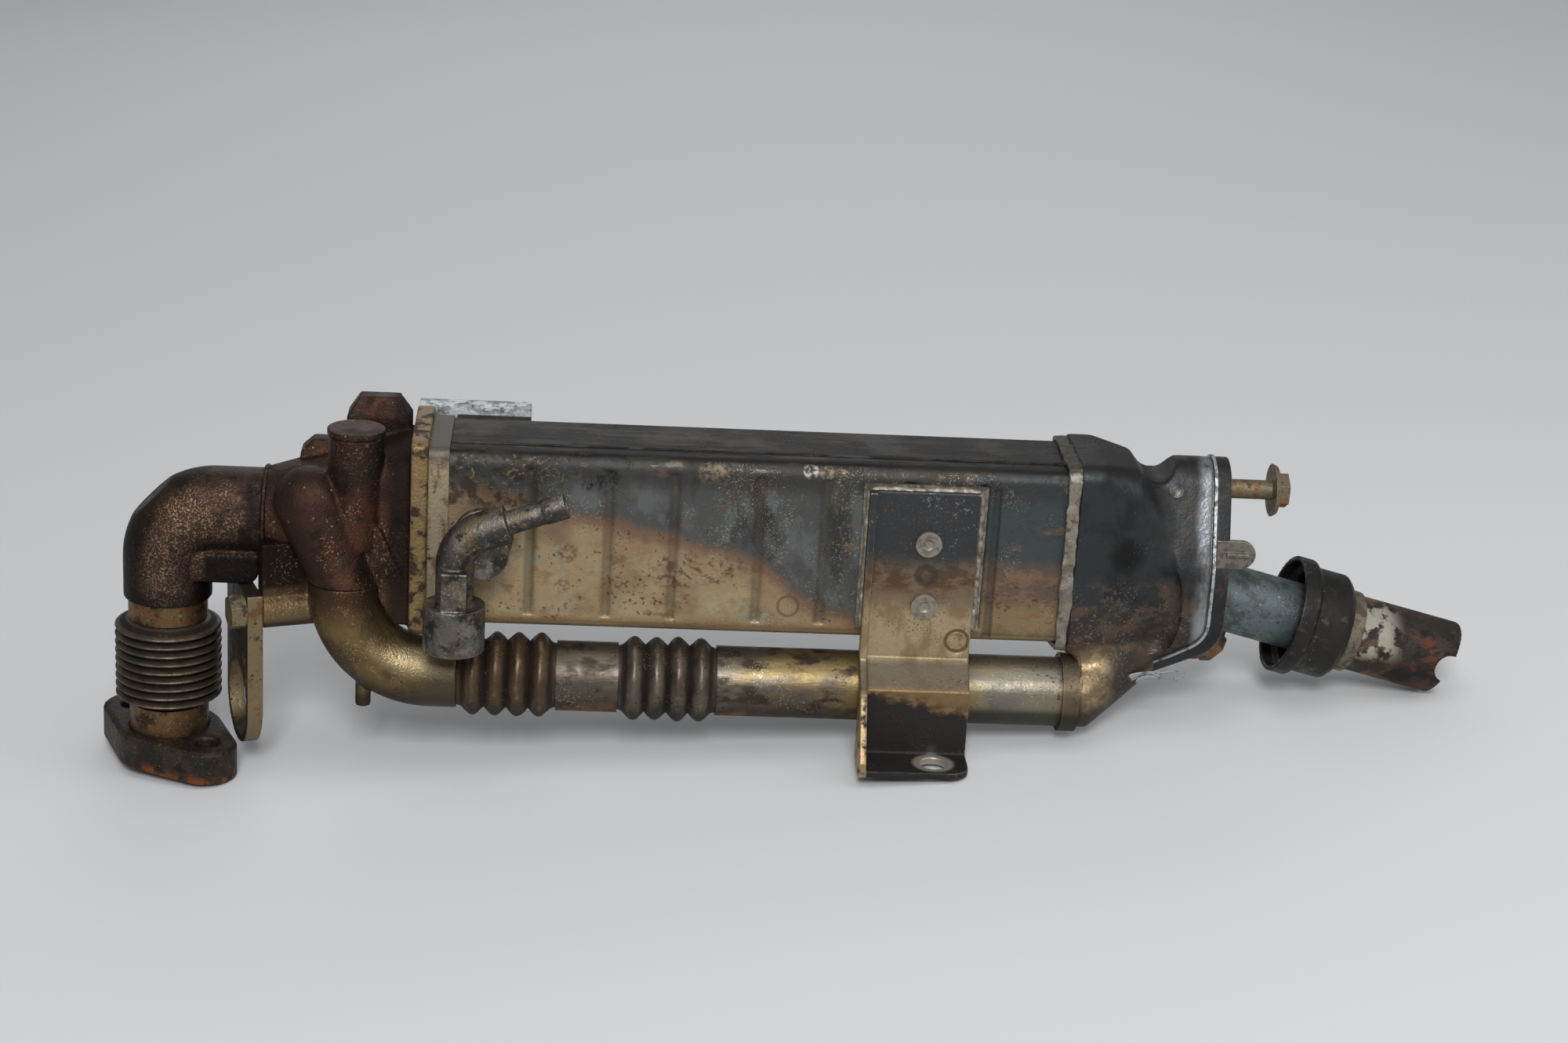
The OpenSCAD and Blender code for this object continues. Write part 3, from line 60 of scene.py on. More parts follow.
class Finish:
    """A worn metal surface: one ground colour, with stains, scale and wear laid over it in turn."""

    def __init__(self, name, ground, roughness, metallic):
        self.material = bpy.data.materials.new(name)
        self.material.use_nodes = True
        self.nodes = self.material.node_tree.nodes
        self.links = self.material.node_tree.links
        self.shader = self.nodes["Principled BSDF"]
        self.shader.inputs["Metallic"].default_value = metallic
        place = self.nodes.new("ShaderNodeTexCoord").outputs["Object"]
        self.mm = self.put("ShaderNodeVectorMath", {0: place, "Scale": mm_in_metre},
                           operation="SCALE").outputs[0]
        self.x, self.y, self.z = self.put("ShaderNodeSeparateXYZ", {0: self.mm}).outputs
        self.colour = tint(ground)
        self.height = None
        low, high = roughness
        self.rough = self.put("ShaderNodeMapRange", {
            "Value": self.noise(3.0, shift=40), "From Min": 0.3, "From Max": 0.7,
            "To Min": low, "To Max": high}).outputs[0]

    def put(self, kind, inputs, **settings):
        """Adds one node with its settings, and each input linked to a socket or set to a value."""
        node = self.nodes.new(kind)
        for key, value in settings.items():
            setattr(node, key, value)
        for key, value in inputs.items():
            if isinstance(value, bpy.types.NodeSocket):
                self.links.new(value, node.inputs[key])
            else:
                node.inputs[key].default_value = value
        return node

    def math(self, operation, first, second=0.0):
        """One sum on two values."""
        return self.put("ShaderNodeMath", {0: first, 1: second}, operation=operation).outputs[0]

    def both(self, first, *others):
        """Where masks meet."""
        for other in others:
            first = self.math("MULTIPLY", first, other)
        return first

    def noise(self, size, stretch=(1, 1, 1), shift=0.0, detail=4.0):
        """Cloudy noise with grains of about the given size in mm."""
        scale = [1 / (size * along) for along in stretch]
        move = (shift, shift * 0.7, shift * 1.3)
        place = self.put("ShaderNodeVectorMath", {0: self.mm, 1: scale, 2: move},
                         operation="MULTIPLY_ADD").outputs[0]
        return self.put("ShaderNodeTexNoise", {
            "Vector": place, "Scale": 1.0, "Detail": detail, "Roughness": 0.6}).outputs[0]

    def step(self, value, low, high):
        """A smooth rise from 0 at low to 1 at high, or a fall where low is above high."""
        return self.put("ShaderNodeMapRange", {"Value": value, "From Min": low, "From Max": high},
                        interpolation_type="SMOOTHSTEP").outputs[0]

    def patches(self, size, low, high, stretch=(1, 1, 1), shift=0.0):
        """Irregular patches of a size in mm."""
        return self.step(self.noise(size, stretch, shift), low, high)

    def band(self, axis, low, high, wobble, size=12.0, shift=5.0):
        """A change along an axis, in mm, with a front that wobbles by some mm."""
        drift = self.math("SUBTRACT", self.noise(size, shift=shift), 0.5)
        return self.step(self.math("ADD", axis, self.math("MULTIPLY", drift, 2 * wobble)), low, high)

    def spots(self, size, reach, share):
        """Scattered round spots: reach is their radius in cells, share how many cells have one."""
        place = self.put("ShaderNodeVectorMath", {0: self.mm, "Scale": 1 / size},
                         operation="SCALE").outputs[0]
        cell = self.put("ShaderNodeTexVoronoi", {"Vector": place, "Scale": 1.0})
        chance = self.put("ShaderNodeSeparateColor", {0: cell.outputs["Color"]}).outputs[0]
        return self.both(self.step(cell.outputs["Distance"], reach, reach * 0.5),
                         self.math("LESS_THAN", chance, share))

    def away(self, first, second, first_at, second_at):
        """Distance in mm from a straight axis, given by its place on the two other axes."""
        one = self.math("SUBTRACT", first, first_at)
        two = self.math("SUBTRACT", second, second_at)
        return self.math("SQRT", self.math("ADD", self.both(one, one), self.both(two, two)))

    def ring(self, x, z, radius, width):
        """A round mark on an upright face, given by its middle and radius in mm."""
        off = self.math("ABSOLUTE", self.math("SUBTRACT", self.away(self.x, self.z, x, z), radius))
        return self.step(off, width, width * 0.3)

    def crumbs(self, spread, grain, low, high, shift):
        """Specks of scale of a grain in mm, thick in the middle of larger patches and thin round them."""
        thick = self.math("SUBTRACT", self.math("MINIMUM", self.noise(spread, shift=shift), high), high)
        lift = self.math("MULTIPLY", thick, 0.14 / (high - low))
        specks = self.noise(grain, shift=shift + 3, detail=6.0)
        return self.step(self.math("ADD", specks, lift), 0.56, 0.63)

    def facing(self, direction, low=0.4, high=0.8):
        """The faces that look along a direction of the part."""
        normal = self.nodes.new("ShaderNodeNewGeometry").outputs["Normal"]
        along = self.put("ShaderNodeVectorMath", {0: normal, 1: direction}, operation="DOT_PRODUCT")
        return self.step(along.outputs["Value"], low, high)

    def worn(self, low, high):
        """The edges that handling and heat have rubbed bright."""
        return self.step(self.nodes.new("ShaderNodeNewGeometry").outputs["Pointiness"], low, high)

    def lay(self, where, shade, rough=None, strength=1.0):
        """Lays a colour, and where given a roughness, where one mask is or several meet."""
        mask = self.both(*where) if isinstance(where, tuple) else where
        if strength < 1.0:
            mask = self.math("MULTIPLY", mask, strength)
        self.colour = self.put("ShaderNodeMix", {0: mask, 6: self.colour, 7: tint(shade)},
                               data_type="RGBA").outputs[2]
        if rough is not None:
            self.rough = self.put("ShaderNodeMix", {0: mask, 2: self.rough, 3: rough}).outputs[0]

    def raise_by(self, value, depth):
        """Adds relief of a depth in mm."""
        part = self.math("MULTIPLY", value, depth)
        self.height = part if self.height is None else self.math("ADD", self.height, part)
        return self

    def done(self):
        """Joins colour, roughness and relief to the shader."""
        self.links.new(self.colour, self.shader.inputs["Base Color"])
        self.links.new(self.rough, self.shader.inputs["Roughness"])
        if self.height is not None:
            relief = self.put("ShaderNodeBump", {"Height": self.height, "Distance": 0.001})
            self.links.new(relief.outputs[0], self.shader.inputs["Normal"])
        return self.material


def placed(name, data):
    """A new object for a mesh or curve, selected by itself."""
    piece = bpy.data.objects.new(name, data)
    bpy.context.collection.objects.link(piece)
    bpy.ops.object.select_all(action="DESELECT")
    piece.select_set(True)
    bpy.context.view_layer.objects.active = piece
    return piece


def merged_copy(node, name):
    """A copy of a CAD node's mesh with its loose triangles joined and its stored normals dropped."""
    piece = placed(name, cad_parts[node].data.copy())
    piece.data.materials.clear()
    bpy.ops.mesh.customdata_custom_splitnormals_clear()
    bpy.ops.object.mode_set(mode="EDIT")
    bpy.ops.mesh.select_all(action="SELECT")
    bpy.ops.mesh.remove_doubles(threshold=0.00001)
    bpy.ops.object.mode_set(mode="OBJECT")
    return piece


def apply_modifier(piece, kind, **settings):
    """Adds a modifier to the active piece and applies it."""
    modifier = piece.modifiers.new(kind.lower(), kind)
    for key, value in settings.items():
        setattr(modifier, key, value)
    bpy.ops.object.modifier_apply(modifier=modifier.name)


def cast(nodes, name, voxel, rounds, keep=0.5, fillet=0.0):
    """A casting or pressing with soft edges: remeshed evenly, smoothed, and thinned where flat.

    Several nodes become one fused piece, and a fillet in metres fills its inner corners."""
    parts = [merged_copy(node, name) for node in ([nodes] if isinstance(nodes, str) else nodes)]
    for part in parts:
        part.select_set(True)
    piece = parts[-1]
    if len(parts) > 1:
        bpy.ops.object.join()
    piece.name = name
    piece.data.remesh_voxel_size = voxel
    bpy.ops.object.voxel_remesh()
    if fillet:
        apply_modifier(piece, "SMOOTH", factor=0.5, iterations=4)
        apply_modifier(piece, "DISPLACE", strength=fillet, mid_level=0.0)
        bpy.ops.object.voxel_remesh()
        apply_modifier(piece, "SMOOTH", factor=0.5, iterations=6)
        apply_modifier(piece, "DISPLACE", strength=-fillet, mid_level=0.0)
    apply_modifier(piece, "SMOOTH", factor=0.5, iterations=rounds)
    if keep < 1.0:
        apply_modifier(piece, "DECIMATE", ratio=keep)
    bpy.ops.object.shade_smooth()
    return piece


def fit(piece, material, *stands_for):
    """Gives a piece its material and its body, and hides the nodes it stands for."""
    piece.data.materials.append(material)
    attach(piece, "root")
    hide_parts(*stands_for)


iron = Finish("rusted_flange_iron", (40, 35, 30), (0.42, 0.62), 0.7)
iron.lay(iron.patches(11, 0.45, 0.62), (60, 47, 36), 0.55)
iron.lay(iron.patches(5, 0.5, 0.66, shift=9), (32, 28, 25))
iron.lay(iron.patches(1.2, 0.6, 0.68, shift=12), (118, 98, 74), 0.4, 0.6)
iron.lay((iron.band(iron.z, 5, 0.5, 3, 8), iron.patches(7, 0.46, 0.6, shift=3)), (126, 74, 40), 0.8)
iron.lay(iron.crumbs(14, 1.6, 0.52, 0.62, 5), (104, 70, 44), 0.8, 0.7)
iron.lay(iron.worn(0.53, 0.6), (112, 96, 78), 0.4, 0.6)
iron.raise_by(iron.noise(1.4), 0.5).raise_by(iron.noise(6, shift=7), 0.5)
fit(cast("inlet_flange", "flange_casting", voxel=0.0008, rounds=5), iron.done(), "inlet_flange")


# Inlet collars: two turned steel rings that hold the bellows to the flange and to the elbow.
# Brazed in place, they keep a straw and rust colour from the heat.
straw = Finish("scorched_collar_steel", (104, 85, 58), (0.32, 0.5), 0.8)
straw.lay(straw.patches(7, 0.45, 0.62, (2, 2, 0.6)), (112, 79, 49), 0.5)
straw.lay(straw.patches(6, 0.48, 0.64, shift=4), (62, 46, 35), 0.6)
straw.lay(straw.band(straw.z, 15, 11, 2, 6), (48, 37, 29), 0.65, 0.8)
straw.lay(straw.crumbs(9, 1.2, 0.44, 0.58, 2), (46, 35, 28), 0.75)
straw.lay(straw.patches(1.4, 0.62, 0.7, shift=7), (176, 156, 120), 0.32, 0.7)
straw.raise_by(straw.noise(1.0), 0.2)
collar_steel = straw.done()


def turned(node, name, angle=40):
    """A turned or drawn piece: joined triangles, smooth across its round faces."""
    piece = merged_copy(node, name)
    bpy.ops.object.shade_smooth_by_angle(angle=math.radians(angle))
    return piece


fit(turned("inlet_lower_collar", "lower_collar"), collar_steel, "inlet_lower_collar")
fit(turned("inlet_upper_collar", "upper_collar"), collar_steel, "inlet_upper_collar")


# Inlet bellows: a thin stainless tube rolled into nine convolutions.
# It takes up the engine's heat and shake. A painted highlight lies on the crests and painted shade in the
# valleys, over brown specks and dark patches of soot.
inlet_bellows_turns = 9
inlet_bellows_crest = 0.0215
inlet_bellows_root = 0.0186
inlet_bellows_cuff = 0.0143
inlet_bellows_start = 0.025
inlet_bellows_stop = 0.062
bellows_wall = 0.0008
bellows_end = 0.002
bellows_steps = 16
bellows_segments = 80


def bellows(name, start, end, turns, crest, root, cuff, ends, middle, axis, fullness):
    """A bellows, spun from its wavy wall.

    ends are the outer ends of its cuffs, and a smaller fullness makes the crests rounder."""
    pitch = (end - start - 2 * bellows_end) / turns
    outer = [(cuff, ends[0]), (cuff, start)]
    for i in range(turns * bellows_steps + 1):
        turn = i / bellows_steps
        swell = 0.5 - 0.5 * math.cos(2 * math.pi * turn)
        outer.append((root + (crest - root) * swell ** fullness, start + bellows_end + pitch * turn))
    outer += [(cuff, end), (cuff, ends[1])]
    wall = outer + [(r - bellows_wall, s) for r, s in reversed(outer)]
    mesh = bpy.data.meshes.new(name)
    along = Vector(axis)
    side = Vector((0, 0, 1)) if abs(along.z) < 0.5 else Vector((1, 0, 0))
    points = [Vector(middle) + side * r + along * s for r, s in wall]
    mesh.from_pydata(points, [(i, (i + 1) % len(points)) for i in range(len(points))], [])
    piece = placed(name, mesh)
    bpy.ops.object.mode_set(mode="EDIT")
    bpy.ops.mesh.select_all(action="SELECT")
    bpy.ops.mesh.spin(steps=bellows_segments, angle=2 * math.pi, center=middle, axis=axis)
    bpy.ops.mesh.select_all(action="SELECT")
    bpy.ops.mesh.remove_doubles(threshold=0.000005)
    bpy.ops.mesh.normals_make_consistent(inside=False)
    bpy.ops.object.mode_set(mode="OBJECT")
    bpy.ops.object.shade_smooth_by_angle(angle=math.radians(60))
    return piece


rolled = Finish("sooted_inlet_bellows", (74, 68, 60), (0.35, 0.55), 0.75)
out = rolled.away(rolled.x, rolled.y, 0, 0)
rolled.lay(rolled.patches(14, 0.45, 0.62), (92, 78, 60))
# Painted shade in the valleys.
rolled.lay((rolled.step(out, 20.4, 19.0), rolled.step(out, 16.6, 17.6)), (42, 35, 30), 0.7)
# Painted highlight on the crests.
rolled.lay((rolled.step(out, 21.0, 21.5), rolled.patches(7, 0.42, 0.62)), (112, 103, 90), 0.4, 0.8)
rolled.lay(rolled.crumbs(12, 1.4, 0.42, 0.56, 6), (92, 64, 43), 0.75, 0.7)
rolled.lay(rolled.patches(10, 0.54, 0.68, shift=16), (44, 38, 33), 0.6, 0.7)
rolled.raise_by(rolled.noise(1.2), 0.15)
lower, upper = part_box("inlet_bellows")
inlet_tube = bellows("inlet_bellows_tube", inlet_bellows_start, inlet_bellows_stop, inlet_bellows_turns,
                     inlet_bellows_crest, inlet_bellows_root, inlet_bellows_cuff, (lower.z, upper.z),
                     (0, 0, 0), (0, 0, 1), fullness=0.75)
fit(inlet_tube, rolled.done(), "inlet_bellows")


# Inlet elbow: a cast bend from the bellows into the collector, with a flat along its outside.
# The cast skin is burnt to a dark brown scale with bronze flecks where it has flaked.
burnt = Finish("burnt_elbow_scale", (36, 27, 22), (0.36, 0.54), 0.85)
burnt.lay(burnt.patches(22, 0.46, 0.62), (58, 43, 35), 0.36)
burnt.lay(burnt.patches(11, 0.5, 0.66, shift=5), (24, 18, 15), 0.55)
burnt.lay(burnt.crumbs(26, 0.8, 0.44, 0.56, 8), (150, 120, 92), 0.32, 0.7)
# Painted highlight: speckled bronze on the faces that look towards the front.
painted_highlight = burnt.both(burnt.facing((0.1, -0.95, 0.3), 0.6, 0.98), burnt.patches(24, 0.36, 0.56, shift=28))
burnt.lay(painted_highlight, (74, 58, 48), 0.32, 0.6)
burnt.lay((painted_highlight, burnt.patches(0.8, 0.5, 0.62, shift=21)), (160, 128, 100), 0.3, 0.75)
# Painted shade on the gusset and the lower part of the bend, towards the branch.
burnt.lay((burnt.step(burnt.x, 14, 18), burnt.step(burnt.z, 97, 91)), (20, 16, 14), 0.7, 0.92)
burnt.lay(burnt.band(burnt.z, 80, 74, 3), (24, 19, 16), 0.6, 0.7)
# Painted shade on the left flank.
burnt.lay(burnt.facing((-0.85, -0.5, 0.0), 0.72, 0.97), (20, 17, 15), 0.6, 0.75)
burnt.lay(burnt.worn(0.53, 0.6), (92, 72, 56), 0.36, 0.4)
burnt.raise_by(burnt.noise(0.8), 0.4).raise_by(burnt.noise(5, shift=3), 0.5)
elbow_scale = burnt.done()
fit(cast("inlet_elbow", "elbow_casting", voxel=0.0009, rounds=4), elbow_scale, "inlet_elbow")


# Elbow seam: the raised lip where the elbow is welded to the collector's round neck.
# It is a thin bead of the same burnt colour.
seam_r = 0.0183
seam_z = 0.108
seam_steps = 120


def roughen(piece, size, strength, mid_level=0.5, **limits):
    """Moves the active piece's surface in and out by lumps of a size in metres."""
    clouds = bpy.data.textures.new(piece.name + "_lumps", "CLOUDS")
    clouds.noise_scale = size
    apply_modifier(piece, "DISPLACE", texture=clouds, strength=strength, mid_level=mid_level,
                   texture_coords="LOCAL", **limits)


def bead(name, points, radius, lumps, size, closed=False):
    """A run of weld: a thick wire along points, made uneven."""
    wire = bpy.data.curves.new(name, "CURVE")
    wire.dimensions = "3D"
    wire.bevel_depth = radius
    wire.bevel_resolution = 3
    wire.use_fill_caps = not closed
    run = wire.splines.new("POLY")
    run.points.add(len(points) - 1)
    for dot, point in zip(run.points, points):
        dot.co = (*point, 1.0)
    run.use_cyclic_u = closed
    piece = placed(name, wire)
    bpy.ops.object.convert(target="MESH")
    roughen(piece, size, lumps)
    bpy.ops.object.shade_smooth()
    return piece


def add(piece, material):
    """Gives a piece that stands for no node its material and body."""
    piece.data.materials.append(material)
    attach(piece, "root")


seam_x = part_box("inlet_elbow")[1].x
turns = [2 * math.pi * i / seam_steps for i in range(seam_steps)]
seam = [(seam_x, seam_r * math.cos(turn), seam_z + seam_r * math.sin(turn)) for turn in turns]
add(bead("elbow_seam", seam, radius=0.0011, lumps=0.0008, size=0.004, closed=True),
    elbow_scale)


# Collector housing: one iron casting that widens from the elbow to the core and feeds the bypass.
# Its skin is a red-brown scale with bright specks, and the machined rim at the core is straw-coloured.
# A flat disc closes the round boss on its top.
scale = Finish("red_brown_collector_scale", (54, 36, 27), (0.38, 0.56), 0.8)
scale.lay(scale.patches(22, 0.45, 0.62), (76, 48, 35), 0.42)
scale.lay(scale.patches(12, 0.5, 0.66, shift=6), (32, 23, 18), 0.55)
scale.lay(scale.band(scale.z, 94, 74, 6), (104, 82, 56), 0.38, 0.6)
scale.lay(scale.crumbs(24, 0.9, 0.44, 0.56, 2), (152, 118, 80), 0.34, 0.7)
scale.lay(scale.spots(3.4, 0.16, 0.22), (160, 128, 84), 0.35, 0.8)
scale.lay((scale.band(scale.z, 124, 136, 6), scale.patches(14, 0.42, 0.58, shift=18)),
          (38, 30, 25), 0.46, 0.5)
# Painted shade in the valley before the machined rim.
valley_shade = scale.both(scale.band(scale.x, 88, 93, 2), scale.step(scale.x, 99.4, 98.6))
scale.lay(valley_shade, (30, 23, 20), 0.75, 0.8)
rim = scale.step(scale.x, 98.8, 99.6)
scale.lay(rim, (132, 111, 76), 0.42)
scale.lay((rim, scale.patches(7, 0.48, 0.6, shift=12)), (66, 52, 42), 0.7)
scale.lay(scale.worn(0.54, 0.62), (126, 104, 78), 0.4, 0.45)
scale.raise_by(scale.noise(0.9), 0.4).raise_by(scale.noise(6, shift=3), 0.5)
collector_scale = scale.done()
fit(cast("collector_housing", "collector_casting", voxel=0.00095, rounds=5),
    collector_scale, "collector_housing")
fit(cast("boss_cap", "boss_disc", voxel=0.0006, rounds=3), collector_scale, "boss_cap")


# Side bracket: a flame-cut steel strip with a large ring, screwed to the arm of the bypass branch.
# Its cut edge is tan with rust spots, and its faces are dark.
side_turn = math.radians(19)
tan = Finish("tan_edged_bracket", (52, 45, 38), (0.42, 0.62), 0.7)
tan.lay(tan.patches(12, 0.45, 0.62), (70, 60, 48))
tan.lay(tan.facing((math.sin(side_turn), -math.cos(side_turn), 0)), (118, 103, 77))
tan.lay(tan.patches(6, 0.55, 0.68, shift=4), (108, 78, 50), 0.7)
tan.lay(tan.crumbs(9, 1.4, 0.46, 0.58, 6), (66, 46, 34), 0.75)
tan.lay(tan.worn(0.53, 0.6), (146, 130, 102), 0.4, 0.6)
tan.raise_by(tan.noise(1.2), 0.3)
fit(cast("side_bracket", "ring_bracket", voxel=0.0007, rounds=3), tan.done(), "side_bracket")

rust = Finish("rusted_zinc_bolt", (112, 103, 84), (0.4, 0.62), 0.65)
rust.lay(rust.patches(7, 0.48, 0.64), (122, 90, 58), 0.65)
rust.lay(rust.patches(2.0, 0.56, 0.66, shift=6), (112, 66, 38), 0.8)
rust.lay(rust.patches(5, 0.54, 0.68, shift=9), (62, 56, 46), 0.6)
rust.lay(rust.worn(0.53, 0.61), (158, 148, 128), 0.4, 0.6)
rust.raise_by(rust.noise(0.8), 0.25)
bolt_rust = rust.done()
fit(cast("side_bracket_bolt", "ring_bracket_bolt", voxel=0.0004, rounds=2),
    bolt_rust, "side_bracket_bolt")


# Bypass branch: the lower casting that leads hot gas from the collector along under the core.
# It is brassy gold from the heat above, greyer towards its outlet and darker towards its bottom, with
# soot specks. A painted highlight lies on its upper front faces, and painted shade on its underside and
# its upper left end.
brass = Finish("brassy_branch_casting", (112, 94, 62), (0.32, 0.5), 0.88)
brass.lay(brass.patches(14, 0.45, 0.62), (88, 73, 50), 0.42)
# Painted highlight on the faces that look up and to the front.
brass.lay((brass.facing((-0.1, -0.8, 0.6), 0.8, 0.99), brass.step(brass.z, 68, 62)),
          (184, 164, 124), 0.26, 0.75)
brass.lay((brass.step(brass.x, 63, 58), brass.step(brass.z, 62, 66)), (122, 103, 76), 0.62, 0.8)
brass.lay(brass.crumbs(14, 0.8, 0.42, 0.56, 2), (182, 158, 112), 0.3, 0.6)
brass.lay(brass.band(brass.z, 70, 84, 5), (64, 44, 33), 0.5, 0.92)
# Painted shade on the upper left end, next to the elbow.
brass.lay((brass.band(brass.x, 66, 54, 5), brass.step(brass.z, 82, 85)), (26, 20, 17), 0.65, 0.9)
brass.lay((brass.band(brass.z, 66, 76, 6), brass.crumbs(20, 0.9, 0.4, 0.54, 24)),
          (140, 112, 78), 0.36, 0.8)
# Painted shade on the faces that look down.
brass.lay(brass.facing((0, 0, -1), 0.1, 0.75), (44, 37, 30), 0.65, 0.9)
brass.lay(brass.band(brass.z, 45, 37, 4), (48, 41, 34), 0.6, 0.85)
brass.lay(brass.band(brass.x, 92, 110, 6), (74, 66, 55), 0.5, 0.8)
brass.lay(brass.crumbs(14, 1.5, 0.52, 0.64, 54), (66, 52, 40), 0.7, 0.7)
brass.raise_by(brass.noise(1.0), 0.25).raise_by(brass.noise(6, shift=3), 0.4)
fit(cast("bypass_branch", "branch_casting", voxel=0.0009, rounds=5, keep=1.0),
    brass.done(), "bypass_branch")


# Core collar: a pressed steel frame that is brazed round the core's inlet end.
# A clean silver-gold strip shows between the casting and the core.
silver = Finish("silver_gold_collar", (150, 137, 112), (0.36, 0.55), 0.7)
silver.lay(silver.patches(6, 0.5, 0.64, (1, 1, 2)), (112, 92, 64), 0.6)
silver.lay(silver.patches(3, 0.6, 0.7, shift=5), (62, 50, 40), 0.75)
silver.lay(silver.band(silver.z, 136, 146, 4), (88, 84, 78), 0.55)
silver.raise_by(silver.noise(1.5), 0.3)
fit(turned("core_inlet_collar", "core_collar_frame"), silver.done(), "core_inlet_collar")


# Core shell: two folded stainless sheets round the tubes, the front one with pressed upright grooves.
# The heat has blued it above and left it straw below, with scale, soot and weld marks on the front.
# The tubes and header plates that it closes in are plain steel.
heat = Finish("heat_tinted_core", (150, 132, 101), (0.38, 0.56), 0.65)
front = heat.step(heat.y, -22.0, -24.0)
heat.lay(heat.patches(18, 0.44, 0.62, (1.3, 1, 1)), (134, 112, 82), 0.48)
heat.lay(heat.patches(12, 0.5, 0.68, shift=23), (140, 134, 114), 0.42)
heat.lay(heat.patches(26, 0.48, 0.66, shift=53), (162, 146, 112), 0.42, 0.7)
heat.lay(heat.patches(8, 0.54, 0.68, (1.5, 1, 1), 61), (120, 97, 74), 0.55, 0.6)
heat.lay(heat.band(heat.z, 80, 74, 3), (136, 108, 70), 0.5, 0.8)
tint_slope = 0.235
tint_drop = {"Value": heat.x, "From Min": 236, "From Max": 262, "To Min": 0, "To Max": 14}
fall = heat.put("ShaderNodeMapRange", tint_drop).outputs[0]
slant = heat.math("MULTIPLY", heat.math("SUBTRACT", heat.x, 165), tint_slope)
front_line = heat.math("ADD", heat.z, heat.math("ADD", fall, slant))
heat.lay(heat.band(front_line, 104, 116, 7, 16), (144, 117, 92), 0.45, 0.7)
heat.lay(heat.band(front_line, 114, 121, 5, 12), (114, 90, 72), 0.5)
heat.lay(heat.band(front_line, 119, 125, 5, 16, 8), (74, 75, 73), 0.48)
blued = heat.band(front_line, 121, 128, 5, 16, 8)
heat.lay((blued, heat.patches(16, 0.46, 0.62, (1, 1, 1.6), 31)), (94, 99, 98), 0.45, 0.8)
heat.lay((blued, heat.patches(22, 0.5, 0.64, (1, 1, 2), 3)), (50, 50, 49), 0.55)
heat.lay((blued, heat.crumbs(22, 0.9, 0.46, 0.6, 27)), (122, 120, 112), 0.45, 0.5)
heat.lay(heat.band(heat.z, 129, 137, 5, 12, 6), (50, 48, 45), 0.6, 0.8)
near_bracket = heat.both(heat.band(heat.x, 262, 272, 4), heat.step(heat.x, 300, 290))
heat.lay((near_bracket, heat.crumbs(14, 1.4, 0.36, 0.5, 19)), (136, 116, 80), 0.5, 0.7)
right = heat.step(heat.x, 318, 326)
heat.lay(right, (128, 110, 80), 0.5)
heat.lay((right, heat.band(heat.z, 84, 92, 4, 8)), (96, 80, 68), 0.55)
heat.lay((right, heat.patches(6, 0.5, 0.6, (1.8, 1, 1), 33)), (120, 96, 74), 0.5, 0.8)
heat.lay((right, heat.crumbs(12, 1.4, 0.4, 0.54, 36)), (70, 56, 46), 0.6, 0.7)
heat.lay((right, heat.band(heat.z, 100, 110, 5, 9, 8)), (60, 68, 70), 0.46)
heat.lay((right, heat.band(heat.z, 128, 138, 4, 9)), (52, 55, 56), 0.5)
grit = heat.crumbs(18, 1.7, 0.46, 0.6, 7)
heat.lay((front, grit), (84, 64, 52), 0.7, 0.85)
heat.lay((front, heat.patches(0.9, 0.61, 0.68, shift=17)), (88, 70, 55), 0.65, 0.7)
clusters = heat.both(heat.band(heat.z, 108, 102, 3), heat.band(heat.z, 88, 94, 3),
                     heat.band(heat.x, 192, 200, 4), heat.band(heat.x, 238, 230, 4))
heat.lay((clusters, heat.patches(2.6, 0.5, 0.6, (1.6, 1, 1), 57)), (92, 66, 54), 0.7, 0.8)
heat.lay((front, heat.patches(7, 0.6, 0.68, (1.6, 1, 1), 47)), (106, 84, 64), 0.6, 0.6)
heat.lay((front, heat.crumbs(24, 0.6, 0.46, 0.6, 41)), (182, 170, 146), 0.36, 0.4)
flaked = heat.both(heat.band(heat.x, 168, 140, 10), heat.band(heat.z, 112, 126, 6))
heat.lay((flaked, heat.patches(6, 0.46, 0.6, shift=16)), (46, 44, 42), 0.7, 0.85)
heat.lay((flaked, heat.crumbs(9, 1.8, 0.38, 0.52, 13)), (126, 106, 76), 0.6, 0.85)
uneven = heat.patches(1.8, 0.4, 0.58, shift=9)
sooty, rusty = (20, 19, 18), (150, 88, 46)
for mark_x, mark_z, mark_r, mark_w, shade in (
        (176.5, 135, 0, 7.5, sooty), (169, 133, 0, 3.6, sooty),
        (217, 140, 0, 6.0, (112, 100, 82)), (222, 141, 0, 4.0, (126, 112, 90)),
        (257.5, 142, 1.9, 1.6, (178, 174, 164)), (263.8, 141.5, 2.0, 1.5, (130, 116, 96)),
        (222, 83.4, 0, 5.0, (158, 150, 126)), (149.6, 106, 0, 2.0, rusty), (149.9, 96, 0, 1.7, rusty),
        (162, 104, 2.0, 3.0, (104, 84, 66)), (160, 90, 1.0, 3.4, (116, 95, 74))):
    heat.lay((uneven, front, heat.ring(mark_x, mark_z, mark_r, mark_w)), shade, 0.6, 0.85)
heat.lay((front, heat.ring(251.4, 84.5, 4.2, 0.9)), (94, 74, 54), 0.6, 0.7)
last_groove_x = 333
off_groove = heat.math("ABSOLUTE", heat.math("SUBTRACT", heat.x, last_groove_x))
last_groove = heat.both(front, heat.step(off_groove, 2.4, 0.6), heat.step(heat.z, 139, 136))
# Painted shade in the last groove; the groove itself is only bump.
heat.lay(last_groove, (44, 42, 39), 0.6, 0.5)
heat.raise_by(last_groove, -0.8)
